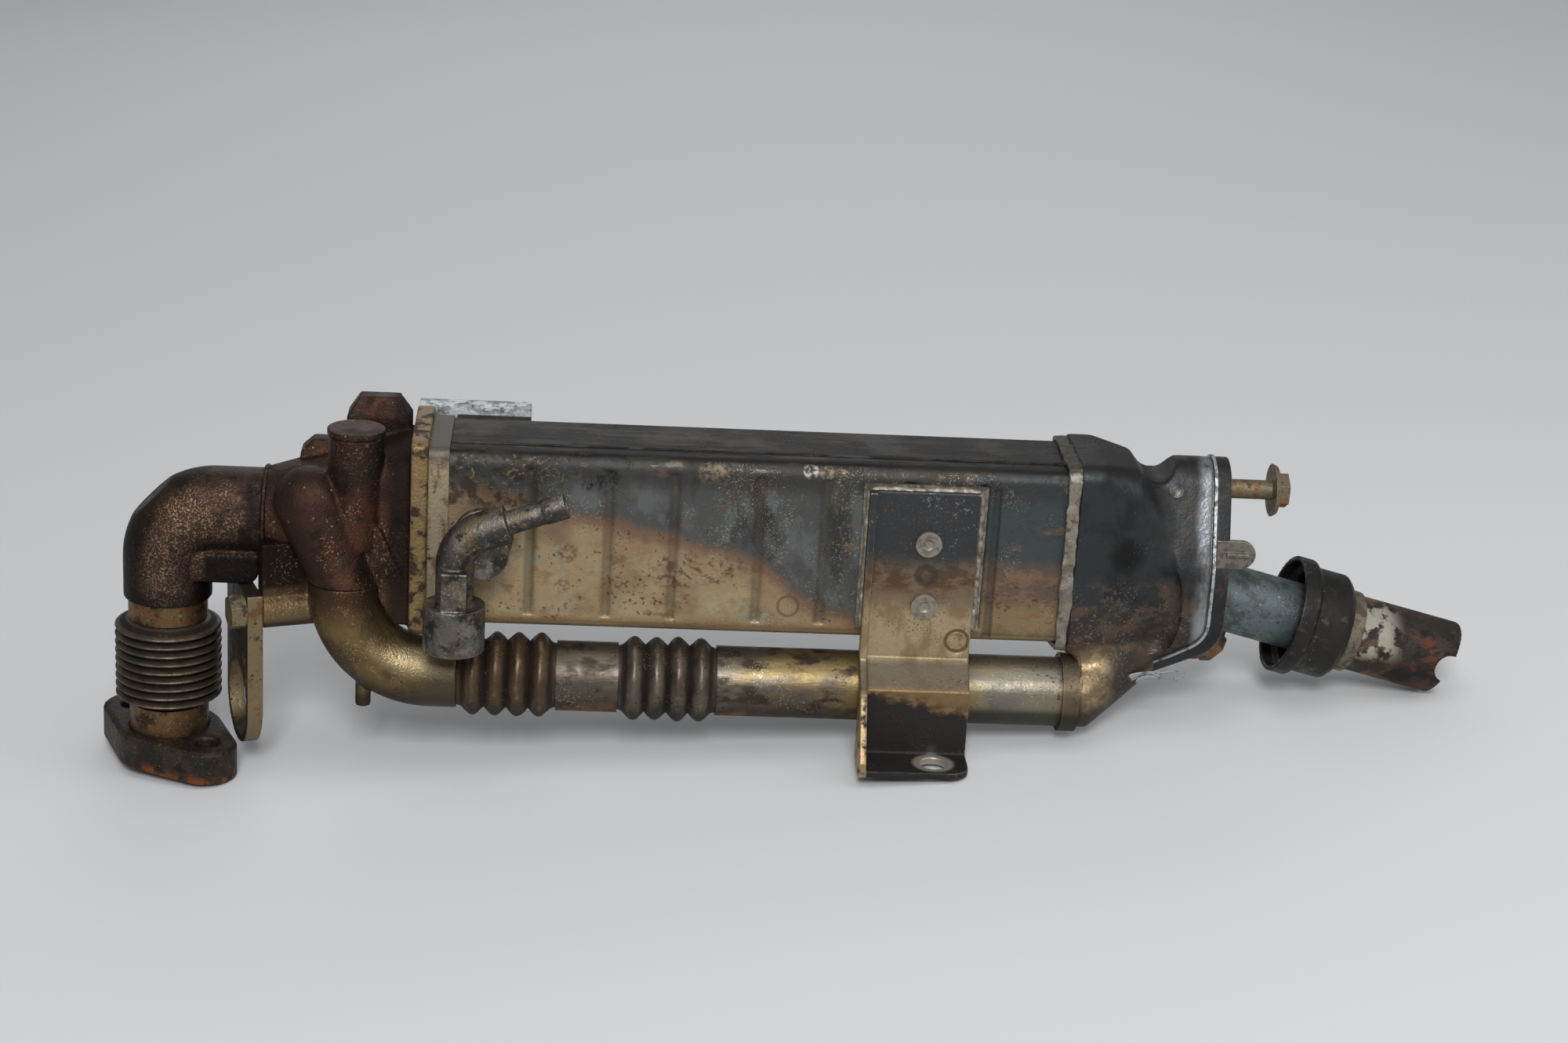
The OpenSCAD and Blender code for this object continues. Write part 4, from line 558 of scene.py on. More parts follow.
# Painted shade in the pressed grooves of the front sheet.
groove_shade = heat.both(heat.step(heat.y, -25.85, -25.1), heat.step(heat.z, 73, 76),
                 heat.step(heat.y, -23.8, -24.3), heat.step(heat.z, 139, 137))
heat.lay(groove_shade, (66, 57, 47), 0.6, 0.42)
# Painted highlight along the lower fold of the front sheet.
heat.lay((heat.step(heat.z, 75.2, 73.2), front), (178, 160, 124), 0.38, 0.7)
# Painted highlight in patches along the upper fold.
heat.lay((front, heat.step(heat.z, 139.5, 141.5), heat.patches(5, 0.56, 0.66, (3, 1, 1), 4)),
         (112, 105, 94), 0.42, 0.5)
top_skin = heat.both(heat.step(heat.z, 142.6, 144.4), heat.step(heat.y, -25.0, -22.5))
heat.lay(top_skin, (32, 30, 29), 0.62)
heat.lay((top_skin, heat.patches(6, 0.48, 0.62, (7, 1, 1), 6)), (58, 51, 41), 0.58)
heat.lay((top_skin, heat.patches(5, 0.54, 0.66, (5, 1, 1), 16)), (20, 19, 18), 0.66)
heat.lay((top_skin, heat.crumbs(18, 1.6, 0.46, 0.6, 26)), (86, 62, 43), 0.7, 0.7)
heat.lay((top_skin, heat.patches(9, 0.58, 0.68, (3, 1, 1), 36)), (84, 82, 76), 0.55, 0.5)
heat.lay((top_skin, heat.band(heat.x, 250, 350, 30)), (27, 26, 26), 0.62, 0.7)
rear_skin = heat.step(heat.y, -12.0, -4.0)
heat.lay((rear_skin, heat.step(heat.z, 144.4, 142.0)), (88, 81, 71), 0.5, 0.94)
heat.lay((rear_skin, heat.patches(24, 0.46, 0.64, shift=71)), (66, 62, 57), 0.55, 0.6)
heat.lay((rear_skin, heat.crumbs(18, 1.4, 0.46, 0.6, 73)), (98, 72, 52), 0.7, 0.7)
heat.raise_by(heat.noise(1.2), 0.14).raise_by(heat.noise(18, shift=3), 0.7).raise_by(grit, 0.12)
core_heat = heat.done()
fit(cast("core_front_shell", "core_front_sheet", voxel=0.00055, rounds=12, keep=0.35),
    core_heat, "core_front_shell")
fit(turned("core_rear_shell", "core_rear_sheet"), core_heat, "core_rear_shell")

plain = Finish("plain_inner_steel", (128, 122, 114), (0.4, 0.55), 0.7)
plain.lay(plain.patches(10, 0.45, 0.65), (96, 86, 72))
plain_inside = plain.done()
for node in ("inlet_header", "outlet_header", "gas_tubes"):
    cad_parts[node].material_slots[0].material = plain_inside


# Core seam: the fillet weld along the top, where the front sheet laps the rear one.
# It is a fine run of filler wire, laid by hand, and as dark as the sheets.
seam_start = 0.1145
seam_stop = 0.361


def path(corners, pitch):
    """Points at an even pitch along straight runs between corners."""
    points = [Vector(corners[0])]
    for first, second in zip(corners, corners[1:]):
        first, second = Vector(first), Vector(second)
        count = max(1, round((second - first).length / pitch))
        points += [first.lerp(second, (i + 1) / count) for i in range(count)]
    return points


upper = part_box("core_front_shell")[1]
seam = path([(seam_start, upper.y, upper.z), (seam_stop, upper.y, upper.z)], pitch=0.0008)
add(bead("core_top_seam", seam, radius=0.0007, lumps=0.0005, size=0.003), core_heat)


# Outlet weld: the broad bead that joins the core to its outlet cap.
# Run by hand, it is pale tan-grey and wavers along its edges.
weld = Finish("pale_weld_metal", (132, 126, 115), (0.38, 0.58), 0.7)
weld.lay(weld.patches(6, 0.45, 0.62), (110, 102, 90), 0.5)
weld.lay(weld.patches(3.5, 0.54, 0.68, shift=4), (88, 78, 66), 0.65)
weld.lay(weld.crumbs(8, 0.9, 0.5, 0.62, 6), (76, 64, 52), 0.7, 0.7)
weld.lay(weld.worn(0.52, 0.6), (176, 170, 158), 0.35, 0.6)
weld.lay((weld.facing((0, 0, 1), 0.5, 0.8), weld.step(weld.z, 142, 145)), (58, 52, 45), 0.6, 0.85)
weld.raise_by(weld.noise(0.9), 0.25)
weld_metal = weld.done()
band = cast("core_outlet_band", "outlet_weld_bead", voxel=0.0007, rounds=3, keep=0.7)
roughen(band, size=0.01, strength=0.003)
roughen(band, size=0.002, strength=0.0008)
fit(band, weld_metal, "core_outlet_band")


# Bypass pipe: two four-turn bellows and two drawn tubes under the core, ended by a pressed ring.
# The stainless steel is grey-beige with gold tints, rust beside the first bellows and soot specks, and
# darker towards the bottom. The bellows carry a painted highlight on their crests and painted shade in
# their valleys.
pipe = Finish("grey_gold_bypass_tube", (84, 76, 66), (0.36, 0.54), 0.8)
pipe.lay(pipe.patches(18, 0.44, 0.6, (2, 1, 1)), (100, 93, 81), 0.38)
pipe.lay((pipe.band(pipe.x, 226, 240, 8), pipe.patches(16, 0.42, 0.6, (1.6, 1, 1), 5)),
         (122, 105, 70), 0.42)
pipe.lay(pipe.patches(9, 0.48, 0.62, (1.8, 1, 1), 15), (60, 52, 44), 0.55)
# Darker towards the bottom.
pipe.lay(pipe.band(pipe.z, 47, 39, 3, 14), (52, 45, 39), 0.6, 0.9)
pipe.lay((pipe.band(pipe.z, 46, 40, 3), pipe.patches(8, 0.5, 0.62, shift=9)), (112, 78, 46), 0.7)
pipe.lay((pipe.band(pipe.x, 318, 345, 12), pipe.step(pipe.x, 366, 362)), (126, 122, 110), 0.34, 0.7)
pipe.lay(pipe.step(pipe.x, 364, 366), (86, 76, 62), 0.5, 0.8)
pipe.lay((pipe.step(pipe.z, 48, 44), pipe.band(pipe.x, 318, 330, 8)), (48, 46, 43), 0.6, 0.8)
pipe.lay(pipe.crumbs(16, 1.4, 0.46, 0.6, 3), (58, 48, 40), 0.7, 0.85)
pipe.lay(pipe.crumbs(20, 0.8, 0.46, 0.6, 23), (176, 168, 150), 0.34, 0.5)
pipe.raise_by(pipe.noise(1.2, (6, 1, 1)), 0.1).raise_by(pipe.noise(16, shift=3), 0.4)
bypass_steel = pipe.done()
for node, name in (("bypass_mid_tube", "bypass_middle_tube"), ("bypass_long_tube", "bypass_rear_tube"),
                   ("bypass_end_ring", "bypass_ring")):
    fit(turned(node, name), bypass_steel, node)

bypass_turns = 4
bypass_crest = 0.0172
bypass_root = 0.0137
bypass_cuff = 0.013
bypass_axis = (0.0, -0.022, 0.0495)
dent_size = 0.009
dent_depth = 0.0012
dent_from = bypass_root + 0.001
folds = Finish("gold_grey_bypass_bellows", (90, 83, 73), (0.38, 0.56), 0.78)
out = folds.away(folds.y, folds.z, bypass_axis[1] * mm_in_metre, bypass_axis[2] * mm_in_metre)
folds.lay(folds.patches(9, 0.45, 0.6), (74, 67, 58))
folds.lay(folds.band(folds.x, 172, 150, 6), (80, 62, 44), None, 0.85)
# Painted shade in the valleys.
folds.lay((folds.step(out, 16.0, 14.6), folds.step(out, 13.2, 13.7)), (44, 37, 31), 0.7, 0.85)
# Painted highlight on the crests.
folds.lay((folds.step(out, 16.8, 17.4), folds.patches(6, 0.46, 0.62, shift=2)),
          (132, 120, 98), 0.36, 0.6)
folds.lay(folds.crumbs(10, 1.2, 0.42, 0.56, 5), (54, 43, 35), 0.7, 0.85)
folds.lay(folds.crumbs(14, 0.8, 0.46, 0.6, 25), (158, 150, 134), 0.4, 0.5)
folds.lay(folds.band(folds.z, 45, 37, 4), (44, 38, 32), 0.7, 0.85)
folds.raise_by(folds.noise(1.4), 0.12)
bypass_bellows_steel = folds.done()
for node, name, start, end in (("bypass_front_bellows", "front_bypass_bellows", 0.119, 0.159),
                               ("bypass_rear_bellows", "rear_bypass_bellows", 0.184, 0.224)):
    lower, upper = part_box(node)
    tube = bellows(name, start, end, bypass_turns, bypass_crest, bypass_root, bypass_cuff,
                   (lower.x, upper.x), bypass_axis, (1, 0, 0), fullness=0.55)
    crests = tube.vertex_groups.new(name="crests")
    for vertex in tube.data.vertices:
        off_axis = vertex.co - Vector((vertex.co.x, bypass_axis[1], bypass_axis[2]))
        if off_axis.length > dent_from:
            crests.add([vertex.index], 1.0, "REPLACE")
    roughen(tube, dent_size, dent_depth, mid_level=0.55, vertex_group="crests")
    fit(tube, bypass_bellows_steel, node)


# Outlet casing: the end cap, the horn of the bypass and the deep-drawn pan, welded into one smooth body.
# It is blue-black from heat with soot on its front and gold-brown on the horn. Painted shade lies on the
# faces that look up, and a painted sheen along the rim.
blue = Finish("blued_outlet_casing", (48, 52, 54), (0.36, 0.54), 0.72)
blue.lay(blue.patches(14, 0.45, 0.62), (38, 39, 40), 0.5)
# Painted shade on the faces that look up.
blue.lay(blue.facing((0, 0, 1), 0.5, 0.9), (34, 32, 31), 0.6, 0.8)
blue.lay(blue.band(blue.z, 96, 78, 8), (56, 50, 45), 0.5, 0.8)
blue.lay((blue.band(blue.z, 104, 94, 5), blue.patches(6, 0.48, 0.6, (1.8, 1, 1), 4)),
         (88, 72, 58), 0.55, 0.7)
blue.lay((blue.band(blue.z, 106, 92, 5), blue.crumbs(12, 1.2, 0.4, 0.54, 14)), (122, 102, 82), 0.5, 0.7)
blue.lay((blue.band(blue.x, 396, 408, 5), blue.patches(10, 0.44, 0.6, shift=7)),
         (62, 56, 50), 0.46, 0.7)
blue.lay((blue.ring(388, 111.5, 0, 10), blue.step(blue.y, -16, -20)), (22, 22, 22), 0.7, 0.9)
horn = blue.both(blue.band(blue.z, 74, 68, 2), blue.band(blue.x, 408, 392, 3))
blue.lay(horn, (112, 95, 72), 0.42)
blue.lay((horn, blue.patches(8, 0.45, 0.6, shift=12)), (146, 128, 98), 0.34)
blue.lay((horn, blue.band(blue.x, 379, 389, 4, 7)), (42, 38, 35), 0.62, 0.9)
blue.lay((horn, blue.band(blue.z, 52, 43, 4, 7)), (50, 44, 39), 0.6, 0.88)
blue.lay((horn, blue.crumbs(8, 1.2, 0.45, 0.58, 9)), (66, 50, 40), 0.7, 0.8)
# Painted sheen along the rim of the pan.
blue.lay((blue.band(blue.x, 415, 420, 2), blue.patches(14, 0.38, 0.58, (1, 1, 2), 3)),
         (148, 151, 154), 0.3, 0.8)
blue.lay(blue.crumbs(24, 0.7, 0.46, 0.6, 15), (128, 126, 120), 0.4, 0.5)
blue.lay(blue.worn(0.53, 0.61), (112, 114, 116), 0.32, 0.45)
blue.raise_by(blue.noise(1.2), 0.14).raise_by(blue.noise(14, shift=4), 0.6)
casing_nodes = ("outlet_end_cap", "bypass_horn", "outlet_pan")
casing = cast(casing_nodes, "outlet_casing", voxel=0.00095, rounds=8, keep=0.45, fillet=0.0045)
fit(casing, blue.done(), *casing_nodes)


# Pan stud: the end of a press stud that shows as a small riveted button on the pan's upper lobe.
# It is bright steel, upset flat, with a dimple in its middle.
stud_place = (0.4069, -0.0158, 0.1364)
stud_face = (0, -0.94, 0.35)


def button(name, place, direction, radius, height):
    """A round button with a rolled edge and a dimple, standing on a surface."""
    rim, dimple, edge = radius * 0.35, height * 0.3, radius * 0.14
    bpy.ops.object.select_all(action="DESELECT")
    bpy.ops.mesh.primitive_cylinder_add(vertices=32, radius=radius, depth=height)
    piece = bpy.context.active_object
    piece.name = name
    bpy.ops.object.mode_set(mode="EDIT")
    bpy.ops.mesh.select_all(action="DESELECT")
    bpy.ops.object.mode_set(mode="OBJECT")
    for face in piece.data.polygons:
        face.select = face.normal.z > 0.9
    bpy.ops.object.mode_set(mode="EDIT")
    bpy.ops.mesh.inset(thickness=rim)
    bpy.ops.transform.translate(value=(0, 0, -dimple))
    bpy.ops.object.mode_set(mode="OBJECT")
    apply_modifier(piece, "BEVEL", width=edge, segments=3, limit_method="ANGLE")
    piece.location = place
    piece.rotation_euler = Vector(direction).to_track_quat("Z", "Y").to_euler()
    bpy.ops.object.transform_apply(location=True, rotation=True, scale=True)
    bpy.ops.object.shade_smooth_by_angle(angle=math.radians(50))
    return piece


stud = Finish("dull_stud_steel", (104, 105, 104), (0.34, 0.5), 0.75)
stud.lay(stud.patches(3, 0.46, 0.62), (66, 66, 65), 0.5)
stud.raise_by(stud.noise(0.8), 0.12)
add(button("pan_stud", stud_place, stud_face, radius=0.003, height=0.0024), stud.done())


# Outlet plate and gasket: a bent steel plate bolted over a foil gasket, with a locating tab in front.
# The plate is dark and clean-edged, and the foil is bright and torn at its lower end.
plate = Finish("dark_plate_steel", (41, 43, 45), (0.4, 0.58), 0.7)
plate.lay(plate.patches(14, 0.46, 0.62), (38, 38, 38), 0.55)
plate.lay(plate.patches(8, 0.55, 0.67, shift=5), (68, 58, 48), 0.6)
plate.lay(plate.crumbs(12, 1.2, 0.44, 0.58, 4), (86, 60, 40), 0.8, 0.8)
plate.lay(plate.worn(0.53, 0.6), (156, 160, 164), 0.32, 0.75)
plate.raise_by(plate.noise(1.2), 0.2)
fit(cast("outlet_plate", "plate_pressing", voxel=0.0008, rounds=3), plate.done(), "outlet_plate")

foil = Finish("bright_gasket_foil", (168, 170, 172), (0.28, 0.5), 0.8)
foil.lay(foil.patches(4, 0.5, 0.64), (112, 106, 98), 0.6)
foil.lay(foil.patches(2, 0.6, 0.7, shift=4), (76, 64, 54), 0.7)
foil.raise_by(foil.noise(0.9), 0.2)
foil_steel = foil.done()
fit(turned("outlet_gasket", "gasket_sheet"), foil_steel, "outlet_gasket")
foil_taper = 0.75
foil_thickness = 0.00025


def torn_strip(name, points, width, across):
    """A torn strip of foil: a ribbon along points, tapered to its end, with a little thickness."""
    rows = []
    for i, point in enumerate(points):
        half = Vector(across).normalized() * width / 2 * (1 - foil_taper * i / (len(points) - 1))
        rows += [Vector(point) - half, Vector(point) + half]
    mesh = bpy.data.meshes.new(name)
    mesh.from_pydata(rows, [], [(2 * i, 2 * i + 1, 2 * i + 3, 2 * i + 2) for i in range(len(points) - 1)])
    strip = placed(name, mesh)
    apply_modifier(strip, "SUBSURF", levels=2, render_levels=2)
    apply_modifier(strip, "SOLIDIFY", thickness=foil_thickness, offset=0)
    bpy.ops.object.shade_smooth()
    return strip


foil_lean = (0.1, -0.35, 0.9)
foil_ends = (((0.3925, -0.0268, 0.0580), (0.4085, -0.0236, 0.0598), 0.0050, 0.0008),
             ((0.3965, -0.0255, 0.0566), (0.4070, -0.0240, 0.0572), 0.0034, 0.0014),
             ((0.4030, -0.0246, 0.0596), (0.4172, -0.0232, 0.0580), 0.0016, -0.0012),
             ((0.4040, -0.0240, 0.0584), (0.4180, -0.0236, 0.0598), 0.0012, 0.0016),
             ((0.4020, -0.0236, 0.0572), (0.4150, -0.0222, 0.0556), 0.0014, 0.0010))
for i, (start, end, width, bow) in enumerate(foil_ends):
    curve = [Vector(start).lerp(Vector(end), t) + Vector((0, 0, bow * math.sin(math.pi * t)))
             for t in (0, 0.2, 0.4, 0.6, 0.8, 1.0)]
    add(torn_strip(f"foil_strip_{i + 1}", curve, width, foil_lean), foil_steel)

nickel = Finish("dull_nickel_tab", (112, 109, 100), (0.34, 0.54), 0.75)
nickel.lay(nickel.patches(4, 0.46, 0.62), (90, 84, 74), 0.5)
nickel.lay(nickel.patches(2, 0.58, 0.68, shift=4), (74, 64, 54), 0.6)
nickel.lay(nickel.worn(0.52, 0.6), (170, 166, 156), 0.32, 0.7)
nickel.raise_by(nickel.noise(0.9), 0.15)
fit(cast("locating_tab", "tab_plate", voxel=0.0004, rounds=2), nickel.done(), "locating_tab")


# Outlet bolts: two flanged hexagon bolts, both left backed out of the plate.
# Their zinc has gone tan, with rust under the heads.
fit(cast("outlet_bolts", "backed_out_bolts", voxel=0.00045, rounds=2), bolt_rust, "outlet_bolts")


# Outlet tube, cup and nozzle: a drawn tube through a cup, ending in a ring and a notched nozzle.
# The tube is zinc-plated, the cup and nozzle carry soot, and the nozzle has flaked white and tan.
zinc = Finish("bluish_zinc_tube", (92, 104, 106), (0.36, 0.58), 0.65)
zinc.lay(zinc.patches(7, 0.45, 0.62), (72, 76, 74), 0.55)
zinc.lay(zinc.crumbs(9, 1.3, 0.4, 0.54, 5), (70, 60, 48), 0.7, 0.85)
zinc.lay(zinc.patches(1.5, 0.62, 0.7, shift=8), (150, 158, 160), 0.4, 0.7)
zinc.raise_by(zinc.noise(1.1), 0.15)
fit(turned("outlet_tube", "outlet_pipe"), zinc.done(), "outlet_tube")

soot = Finish("sooted_cup", (43, 41, 39), (0.34, 0.52), 0.72)
soot.lay(soot.patches(10, 0.46, 0.62), (36, 34, 32), 0.6)
soot.lay(soot.patches(5, 0.58, 0.7, shift=4), (76, 65, 51), 0.6, 0.8)
soot.lay(soot.crumbs(14, 0.9, 0.44, 0.58, 8), (128, 120, 104), 0.4, 0.6)
soot.raise_by(soot.noise(1.4), 0.1)
fit(cast("outlet_cup", "pipe_cup", voxel=0.0007, rounds=8, keep=1.0), soot.done(), "outlet_cup")

ring = Finish("tan_nozzle_ring", (112, 103, 88), (0.4, 0.58), 0.65)
ring.lay(ring.patches(5, 0.46, 0.6), (84, 74, 60), 0.6)
ring.lay(ring.crumbs(8, 1.0, 0.42, 0.56, 6), (48, 42, 36), 0.7, 0.8)
ring.raise_by(ring.noise(1.0), 0.15)
fit(cast("nozzle_ring", "nozzle_collar", voxel=0.0006, rounds=6, keep=1.0), ring.done(), "nozzle_ring")

nozzle = Finish("flaked_nozzle", (50, 44, 37), (0.45, 0.66), 0.6)
nozzle.lay(nozzle.patches(10, 0.45, 0.6), (34, 31, 28), 0.7)
nozzle.lay((nozzle.band(nozzle.x, 516, 500, 5), nozzle.patches(10, 0.46, 0.6, shift=7)),
           (100, 82, 58), 0.6)
flakes = nozzle.patches(7, 0.46, 0.54, shift=15)
nozzle.lay((nozzle.step(nozzle.x, 514, 504), nozzle.band(nozzle.z, 60, 66, 2), flakes),
           (162, 156, 144), 0.7, 0.9)
nozzle.lay((nozzle.step(nozzle.x, 512, 502), nozzle.band(nozzle.z, 56, 50, 2),
            nozzle.patches(6, 0.46, 0.58, shift=25)), (136, 94, 56), 0.65, 0.9)
nozzle.lay((nozzle.band(nozzle.x, 510, 520, 4), nozzle.patches(6, 0.52, 0.62, (2, 1, 1), 21)),
           (92, 54, 40), 0.7, 0.9)
nozzle.lay(nozzle.worn(0.54, 0.62), (124, 112, 94), 0.42, 0.6)
nozzle.raise_by(nozzle.noise(1.0), 0.3).raise_by(flakes, 0.12)
fit(cast("mixing_nozzle", "nozzle_end", voxel=0.0007, rounds=3), nozzle.done(), "mixing_nozzle")


# Support bracket: a folded steel bracket with a stepped leg and a drilled foot, riveted to a doubler.
# The doubler is welded to the core. The bracket is blue-black above, gold in the middle and black at
# the foot, with the bolt hole worn bright.
doubler = Finish("scuffed_doubler", (116, 111, 102), (0.42, 0.6), 0.6)
doubler.lay(doubler.patches(7, 0.44, 0.6), (84, 78, 70), 0.6)
doubler.lay(doubler.patches(4, 0.52, 0.64, shift=8), (150, 146, 136), 0.5, 0.7)
doubler.lay(doubler.crumbs(10, 1.2, 0.42, 0.56, 4), (70, 60, 50), 0.7, 0.8)
doubler.raise_by(doubler.noise(1.4), 0.2)
fit(turned("bracket_doubler", "doubler_sheet"), doubler.done(), "bracket_doubler")

weld_inset = 0.0023
weld_sink = 0.0003
weld_lift = 0.001
corner = 0.004
lower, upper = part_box("bracket_doubler")
left, right, top = lower.x + weld_inset, upper.x - weld_inset, upper.z - weld_inset
turns = [math.radians(angle) for angle in (30, 60, 90)]
arch = [(left, lower.z + weld_lift), (left, top - corner)]
arch += [(left + corner * (1 - math.cos(turn)), top - corner * (1 - math.sin(turn))) for turn in turns]
arch += [(right - corner, top)]
arch += [(right - corner * (1 - math.sin(turn)), top - corner * (1 - math.cos(turn))) for turn in turns]
arch += [(right, lower.z + weld_lift)]
arch = [(x, lower.y + weld_sink, z) for x, z in arch]
add(bead("doubler_weld", path(arch, pitch=0.0006), radius=0.0016, lumps=0.0018, size=0.004),
    weld_metal)

bracket = Finish("heat_tinted_bracket", (158, 142, 112), (0.38, 0.58), 0.68)
bracket.lay(bracket.patches(10, 0.46, 0.62, (1, 1, 1.6)), (136, 114, 80), 0.45)
bracket.lay(bracket.band(bracket.z, 82, 94, 4, 10), (112, 96, 78), 0.5)
bracket.lay((bracket.band(bracket.z, 92, 97, 3, 8), bracket.patches(5, 0.4, 0.56, (2, 1, 1), 4)),
            (88, 66, 52), 0.7)
bracket.lay(bracket.band(bracket.z, 100, 112, 4, 10, 8), (51, 55, 58), 0.48)
# Painted shade on the step of the leg.
bracket.lay(bracket.band(bracket.z, 68, 63, 2, 10), (84, 76, 65), 0.48, 0.85)
bracket.lay(bracket.band(bracket.z, 57.5, 55.5, 1.5, 10), (122, 98, 66), 0.5)
bracket.lay(bracket.ring(306, 101.5, 3.4, 2.2), (58, 54, 47), 0.62, 0.8)
bracket.lay((bracket.band(bracket.z, 62, 68, 3), bracket.crumbs(18, 1.0, 0.42, 0.56, 39)),
            (92, 70, 48), 0.65, 0.8)
ragged = bracket.math("ADD", bracket.z, bracket.math("MULTIPLY", bracket.x, 0.22))
bracket.lay((bracket.band(ragged, 123, 116, 6, 6), bracket.patches(5, 0.42, 0.54, (1.5, 1, 1), 18)),
            (74, 58, 44), 0.6)
bracket.lay(bracket.band(ragged, 117.5, 114.5, 6, 6), (42, 40, 38), 0.65)
stamp = bracket.ring(320.5, 73.4, 4.6, 1.0)
bracket.lay(stamp, (96, 78, 56), 0.6, 0.9)
bracket.raise_by(stamp, -0.3)
bracket.lay((bracket.step(bracket.x, 284.6, 283.6), bracket.band(bracket.z, 58, 52, 3),
             bracket.patches(5, 0.36, 0.5, shift=6)), (150, 128, 92), 0.45)
bracket.lay(bracket.crumbs(12, 1.2, 0.44, 0.58, 19), (84, 64, 48), 0.7, 0.8)
bracket.lay((bracket.step(bracket.z, 104, 112), bracket.crumbs(9, 0.9, 0.46, 0.6, 29)),
            (134, 140, 142), 0.36, 0.7)
foot_hole = (312, -51.5)
off_hole = bracket.away(bracket.x, bracket.y, *foot_hole)
bracket.lay((bracket.step(off_hole, 9.5, 6.8), bracket.step(bracket.z, 34, 30)),
            (188, 182, 170), 0.32, 0.8)
bracket.lay(bracket.worn(0.53, 0.6), (186, 176, 156), 0.34, 0.65)
bracket.raise_by(bracket.noise(1.3), 0.15).raise_by(bracket.noise(14, shift=3), 0.4)
fit(cast("support_bracket", "folded_bracket", voxel=0.0007, rounds=2, keep=0.6),
    bracket.done(), "support_bracket")

rivet = Finish("pale_rivet_steel", (134, 128, 116), (0.36, 0.56), 0.7)
rivet.lay(rivet.patches(3, 0.48, 0.64), (108, 100, 88), 0.5)
rivet.raise_by(rivet.noise(0.8), 0.12)
rivet_steel = rivet.done()
fit(turned("bracket_rivets", "hollow_rivets", angle=30), rivet_steel, "bracket_rivets")
lower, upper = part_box("bracket_rivets")
rivet_r = 0.0053
pin_sink = 0.0008
for i, rivet_z in enumerate((lower.z + rivet_r, upper.z - rivet_r)):
    place = ((lower.x + upper.x) / 2, lower.y + pin_sink, rivet_z)
    pin = button(f"rivet_pin_{i + 1}", place, (0, -1, 0), radius=0.0026, height=0.0022)
    add(pin, rivet_steel)


# Coolant boss and elbow: a small aluminium casting on the front panel, with a socket and a hose spigot.
# The cast skin is grey and pitted, darker above, with bright rubbed specks on the socket and bend.
alloy = Finish("pitted_coolant_casting", (92, 88, 83), (0.34, 0.54), 0.75)
alloy.lay(alloy.patches(8, 0.45, 0.62), (70, 66, 62), 0.5)
alloy.lay(alloy.band(alloy.z, 90, 110, 8), (56, 52, 48), 0.45, 0.85)
# Painted highlight on the faces that look up and to the front.
alloy.lay(alloy.facing((-0.2, -0.75, 0.6), 0.75, 0.98), (112, 107, 100), 0.32, 0.6)
alloy.lay(alloy.crumbs(12, 0.9, 0.42, 0.56, 4), (150, 146, 138), 0.32, 0.7)
alloy.lay(alloy.patches(9, 0.5, 0.62, shift=13), (112, 94, 66), 0.4, 0.55)
alloy.lay(alloy.patches(7, 0.54, 0.66, shift=33), (130, 125, 116), 0.32, 0.5)
alloy.lay(alloy.patches(7, 0.54, 0.64, shift=9), (32, 30, 28), 0.6, 0.85)
alloy.lay(alloy.patches(1.4, 0.6, 0.68, shift=17), (156, 150, 140), 0.32, 0.45)
alloy.lay(alloy.worn(0.53, 0.6), (168, 164, 156), 0.32, 0.7)
alloy.raise_by(alloy.noise(0.9), 0.35)
elbow_alloy = alloy.done()
fit(cast("coolant_boss", "panel_boss", voxel=0.0007, rounds=3), elbow_alloy, "coolant_boss")
fit(cast("coolant_elbow", "coolant_casting", voxel=0.0006, rounds=2), elbow_alloy, "coolant_elbow")


# Rear coolant flange: an aluminium casting screwed to a pad on the rear sheet over a paper gasket.
# Coolant has corroded it white, and most along its top edge.
crust = Finish("white_corroded_flange", (148, 152, 154), (0.55, 0.8), 0.3)
crust.lay(crust.patches(6, 0.46, 0.6), (112, 116, 117), 0.7)
crust.lay(crust.patches(3, 0.56, 0.66, shift=4), (78, 76, 72), 0.75)
bloom = crust.patches(4, 0.42, 0.56, shift=8)
crust.lay((crust.band(crust.z, 138, 148, 3), bloom), (196, 200, 202), 0.85)
crust.raise_by(crust.noise(1.2), 0.5).raise_by(bloom, 0.3)
fit(cast("rear_coolant_flange", "rear_outlet_casting", voxel=0.0008, rounds=3),
    crust.done(), "rear_coolant_flange")
fit(turned("rear_coolant_pad", "rear_pad"), core_heat, "rear_coolant_pad")

paper = Finish("dark_gasket_paper", (46, 45, 43), (0.7, 0.85), 0.0)
paper.lay(paper.patches(3, 0.5, 0.65), (62, 60, 56))
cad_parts["rear_coolant_gasket"].material_slots[0].material = paper.done()
fit(cast("rear_flange_screws", "rear_screws", voxel=0.00045, rounds=2), bolt_rust, "rear_flange_screws")


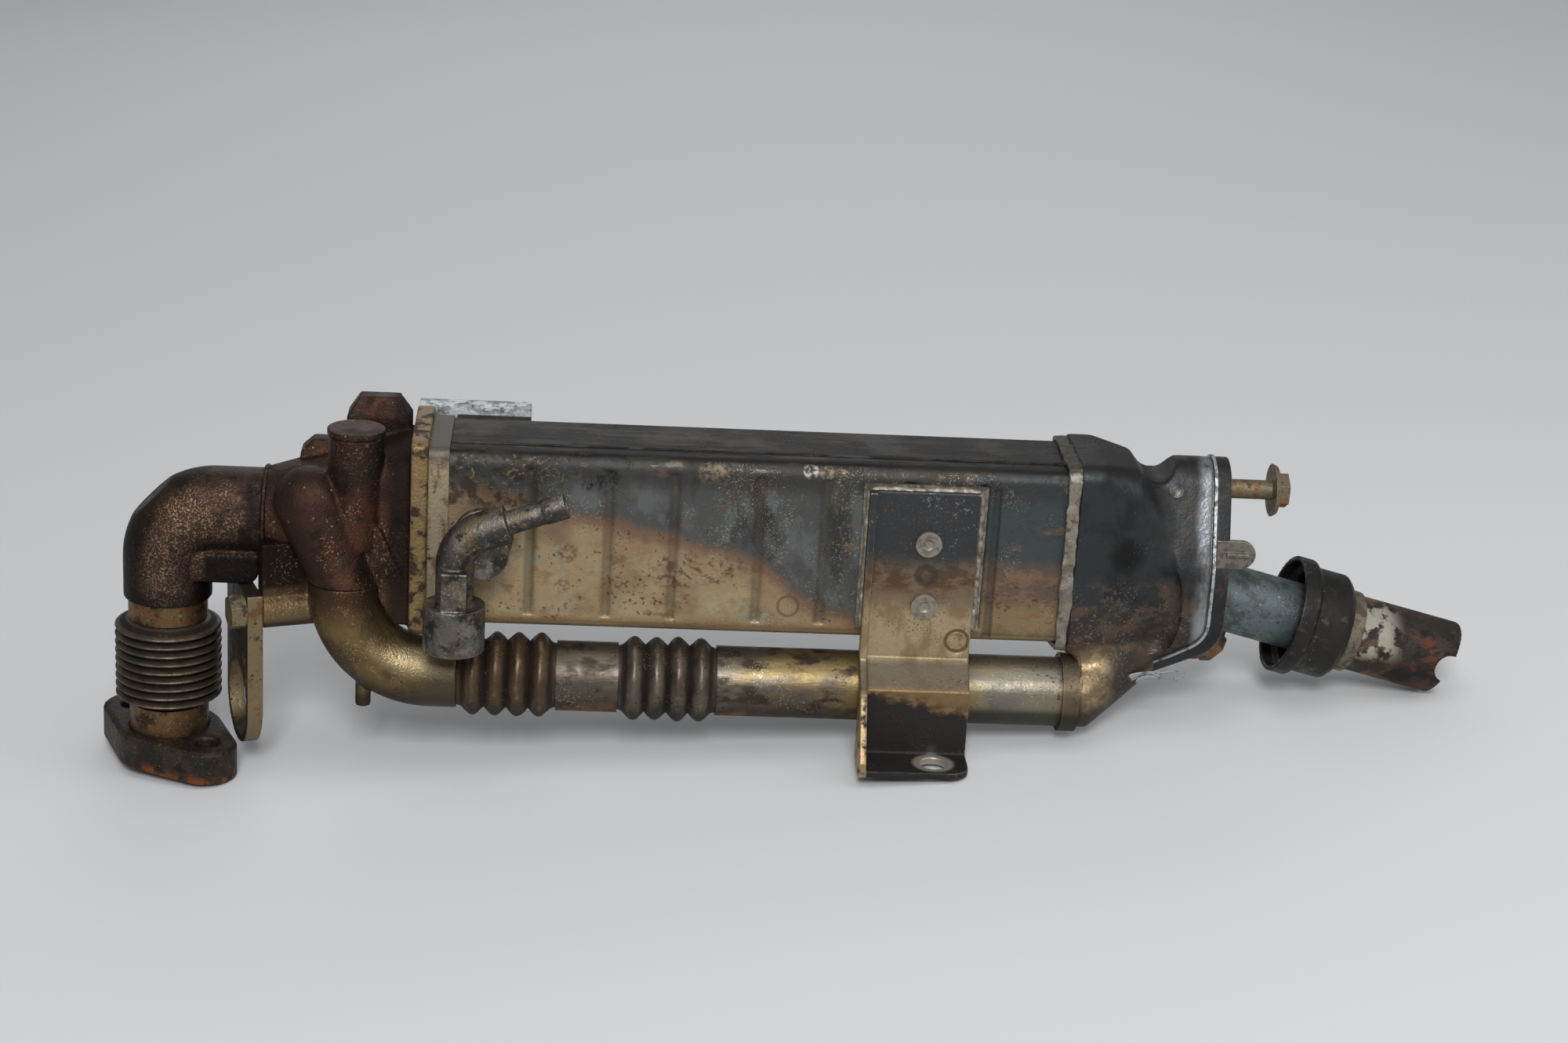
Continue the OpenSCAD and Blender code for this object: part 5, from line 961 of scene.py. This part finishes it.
# Studio: the part stands on a pale floor as it rests by itself, on the flange, the foot and the nozzle.
# Large soft lamps light it evenly, and the camera looks down a little on the front.
floor_slope_x = 0.0871
floor_slope_y = 0.0132
floor_drop = 0.003
floor_half = 12.0
bpy.ops.object.select_all(action="DESELECT")
bpy.ops.mesh.primitive_plane_add(size=2 * floor_half)
floor = bpy.context.active_object
floor.name = "floor"
bpy.ops.object.mode_set(mode="EDIT")
bpy.ops.mesh.subdivide(number_cuts=3)
bpy.ops.object.mode_set(mode="OBJECT")
for vertex in floor.data.vertices:
    vertex.co.z = floor_slope_x * vertex.co.x + floor_slope_y * vertex.co.y - floor_drop
floor_paint = bpy.data.materials.new("pale_floor")
floor_paint.use_nodes = True
floor_shader = floor_paint.node_tree.nodes["Principled BSDF"]
floor_shader.inputs["Base Color"].default_value = (0.62, 0.63, 0.64, 1)
floor_shader.inputs["Roughness"].default_value = 0.7
floor.data.materials.append(floor_paint)


def soft_lamp(name, place, aim, width, power):
    """A square soft lamp that faces a point."""
    light = bpy.data.lights.new(name, "AREA")
    light.size = width
    light.energy = power
    lamp = bpy.data.objects.new(name, light)
    lamp.location = place
    lamp.rotation_euler = (Vector(place) - Vector(aim)).to_track_quat("Z", "Y").to_euler()
    bpy.context.collection.objects.link(lamp)


middle = (0.25, 0.0, 0.08)
soft_lamp("front_lamp", (0.1, -2.4, 1.8), middle, width=0.8, power=60.0)
soft_lamp("top_lamp", (0.35, -0.5, 1.7), middle, width=1.4, power=8.0)
soft_lamp("right_lamp", (1.7, -0.6, 0.8), middle, width=1.0, power=5.0)
soft_lamp("rear_lamp", (0.2, 1.7, 1.1), middle, width=1.2, power=4.5)
world = bpy.data.worlds.new("soft_room")
world.use_nodes = True
room = world.node_tree.nodes["Background"]
room.inputs["Color"].default_value = (0.8, 0.82, 0.84, 1)
room.inputs["Strength"].default_value = 0.34
bpy.context.scene.world = world

camera_place = Vector((0.1614, -1.1481, 0.5148))
camera_back = Vector((-0.0724, -0.9410, 0.3305))
camera_roll = math.radians(3.53)
view = bpy.data.cameras.new("camera")
view.sensor_width = 36.0
view.lens = 68.4
camera = bpy.data.objects.new("camera", view)
camera.location = camera_place
level = camera_back.to_track_quat("Z", "Y")
camera.rotation_euler = (level @ Quaternion((0, 0, 1), camera_roll)).to_euler()
bpy.context.collection.objects.link(camera)
bpy.context.scene.camera = camera
bpy.context.scene.view_settings.view_transform = "Standard"
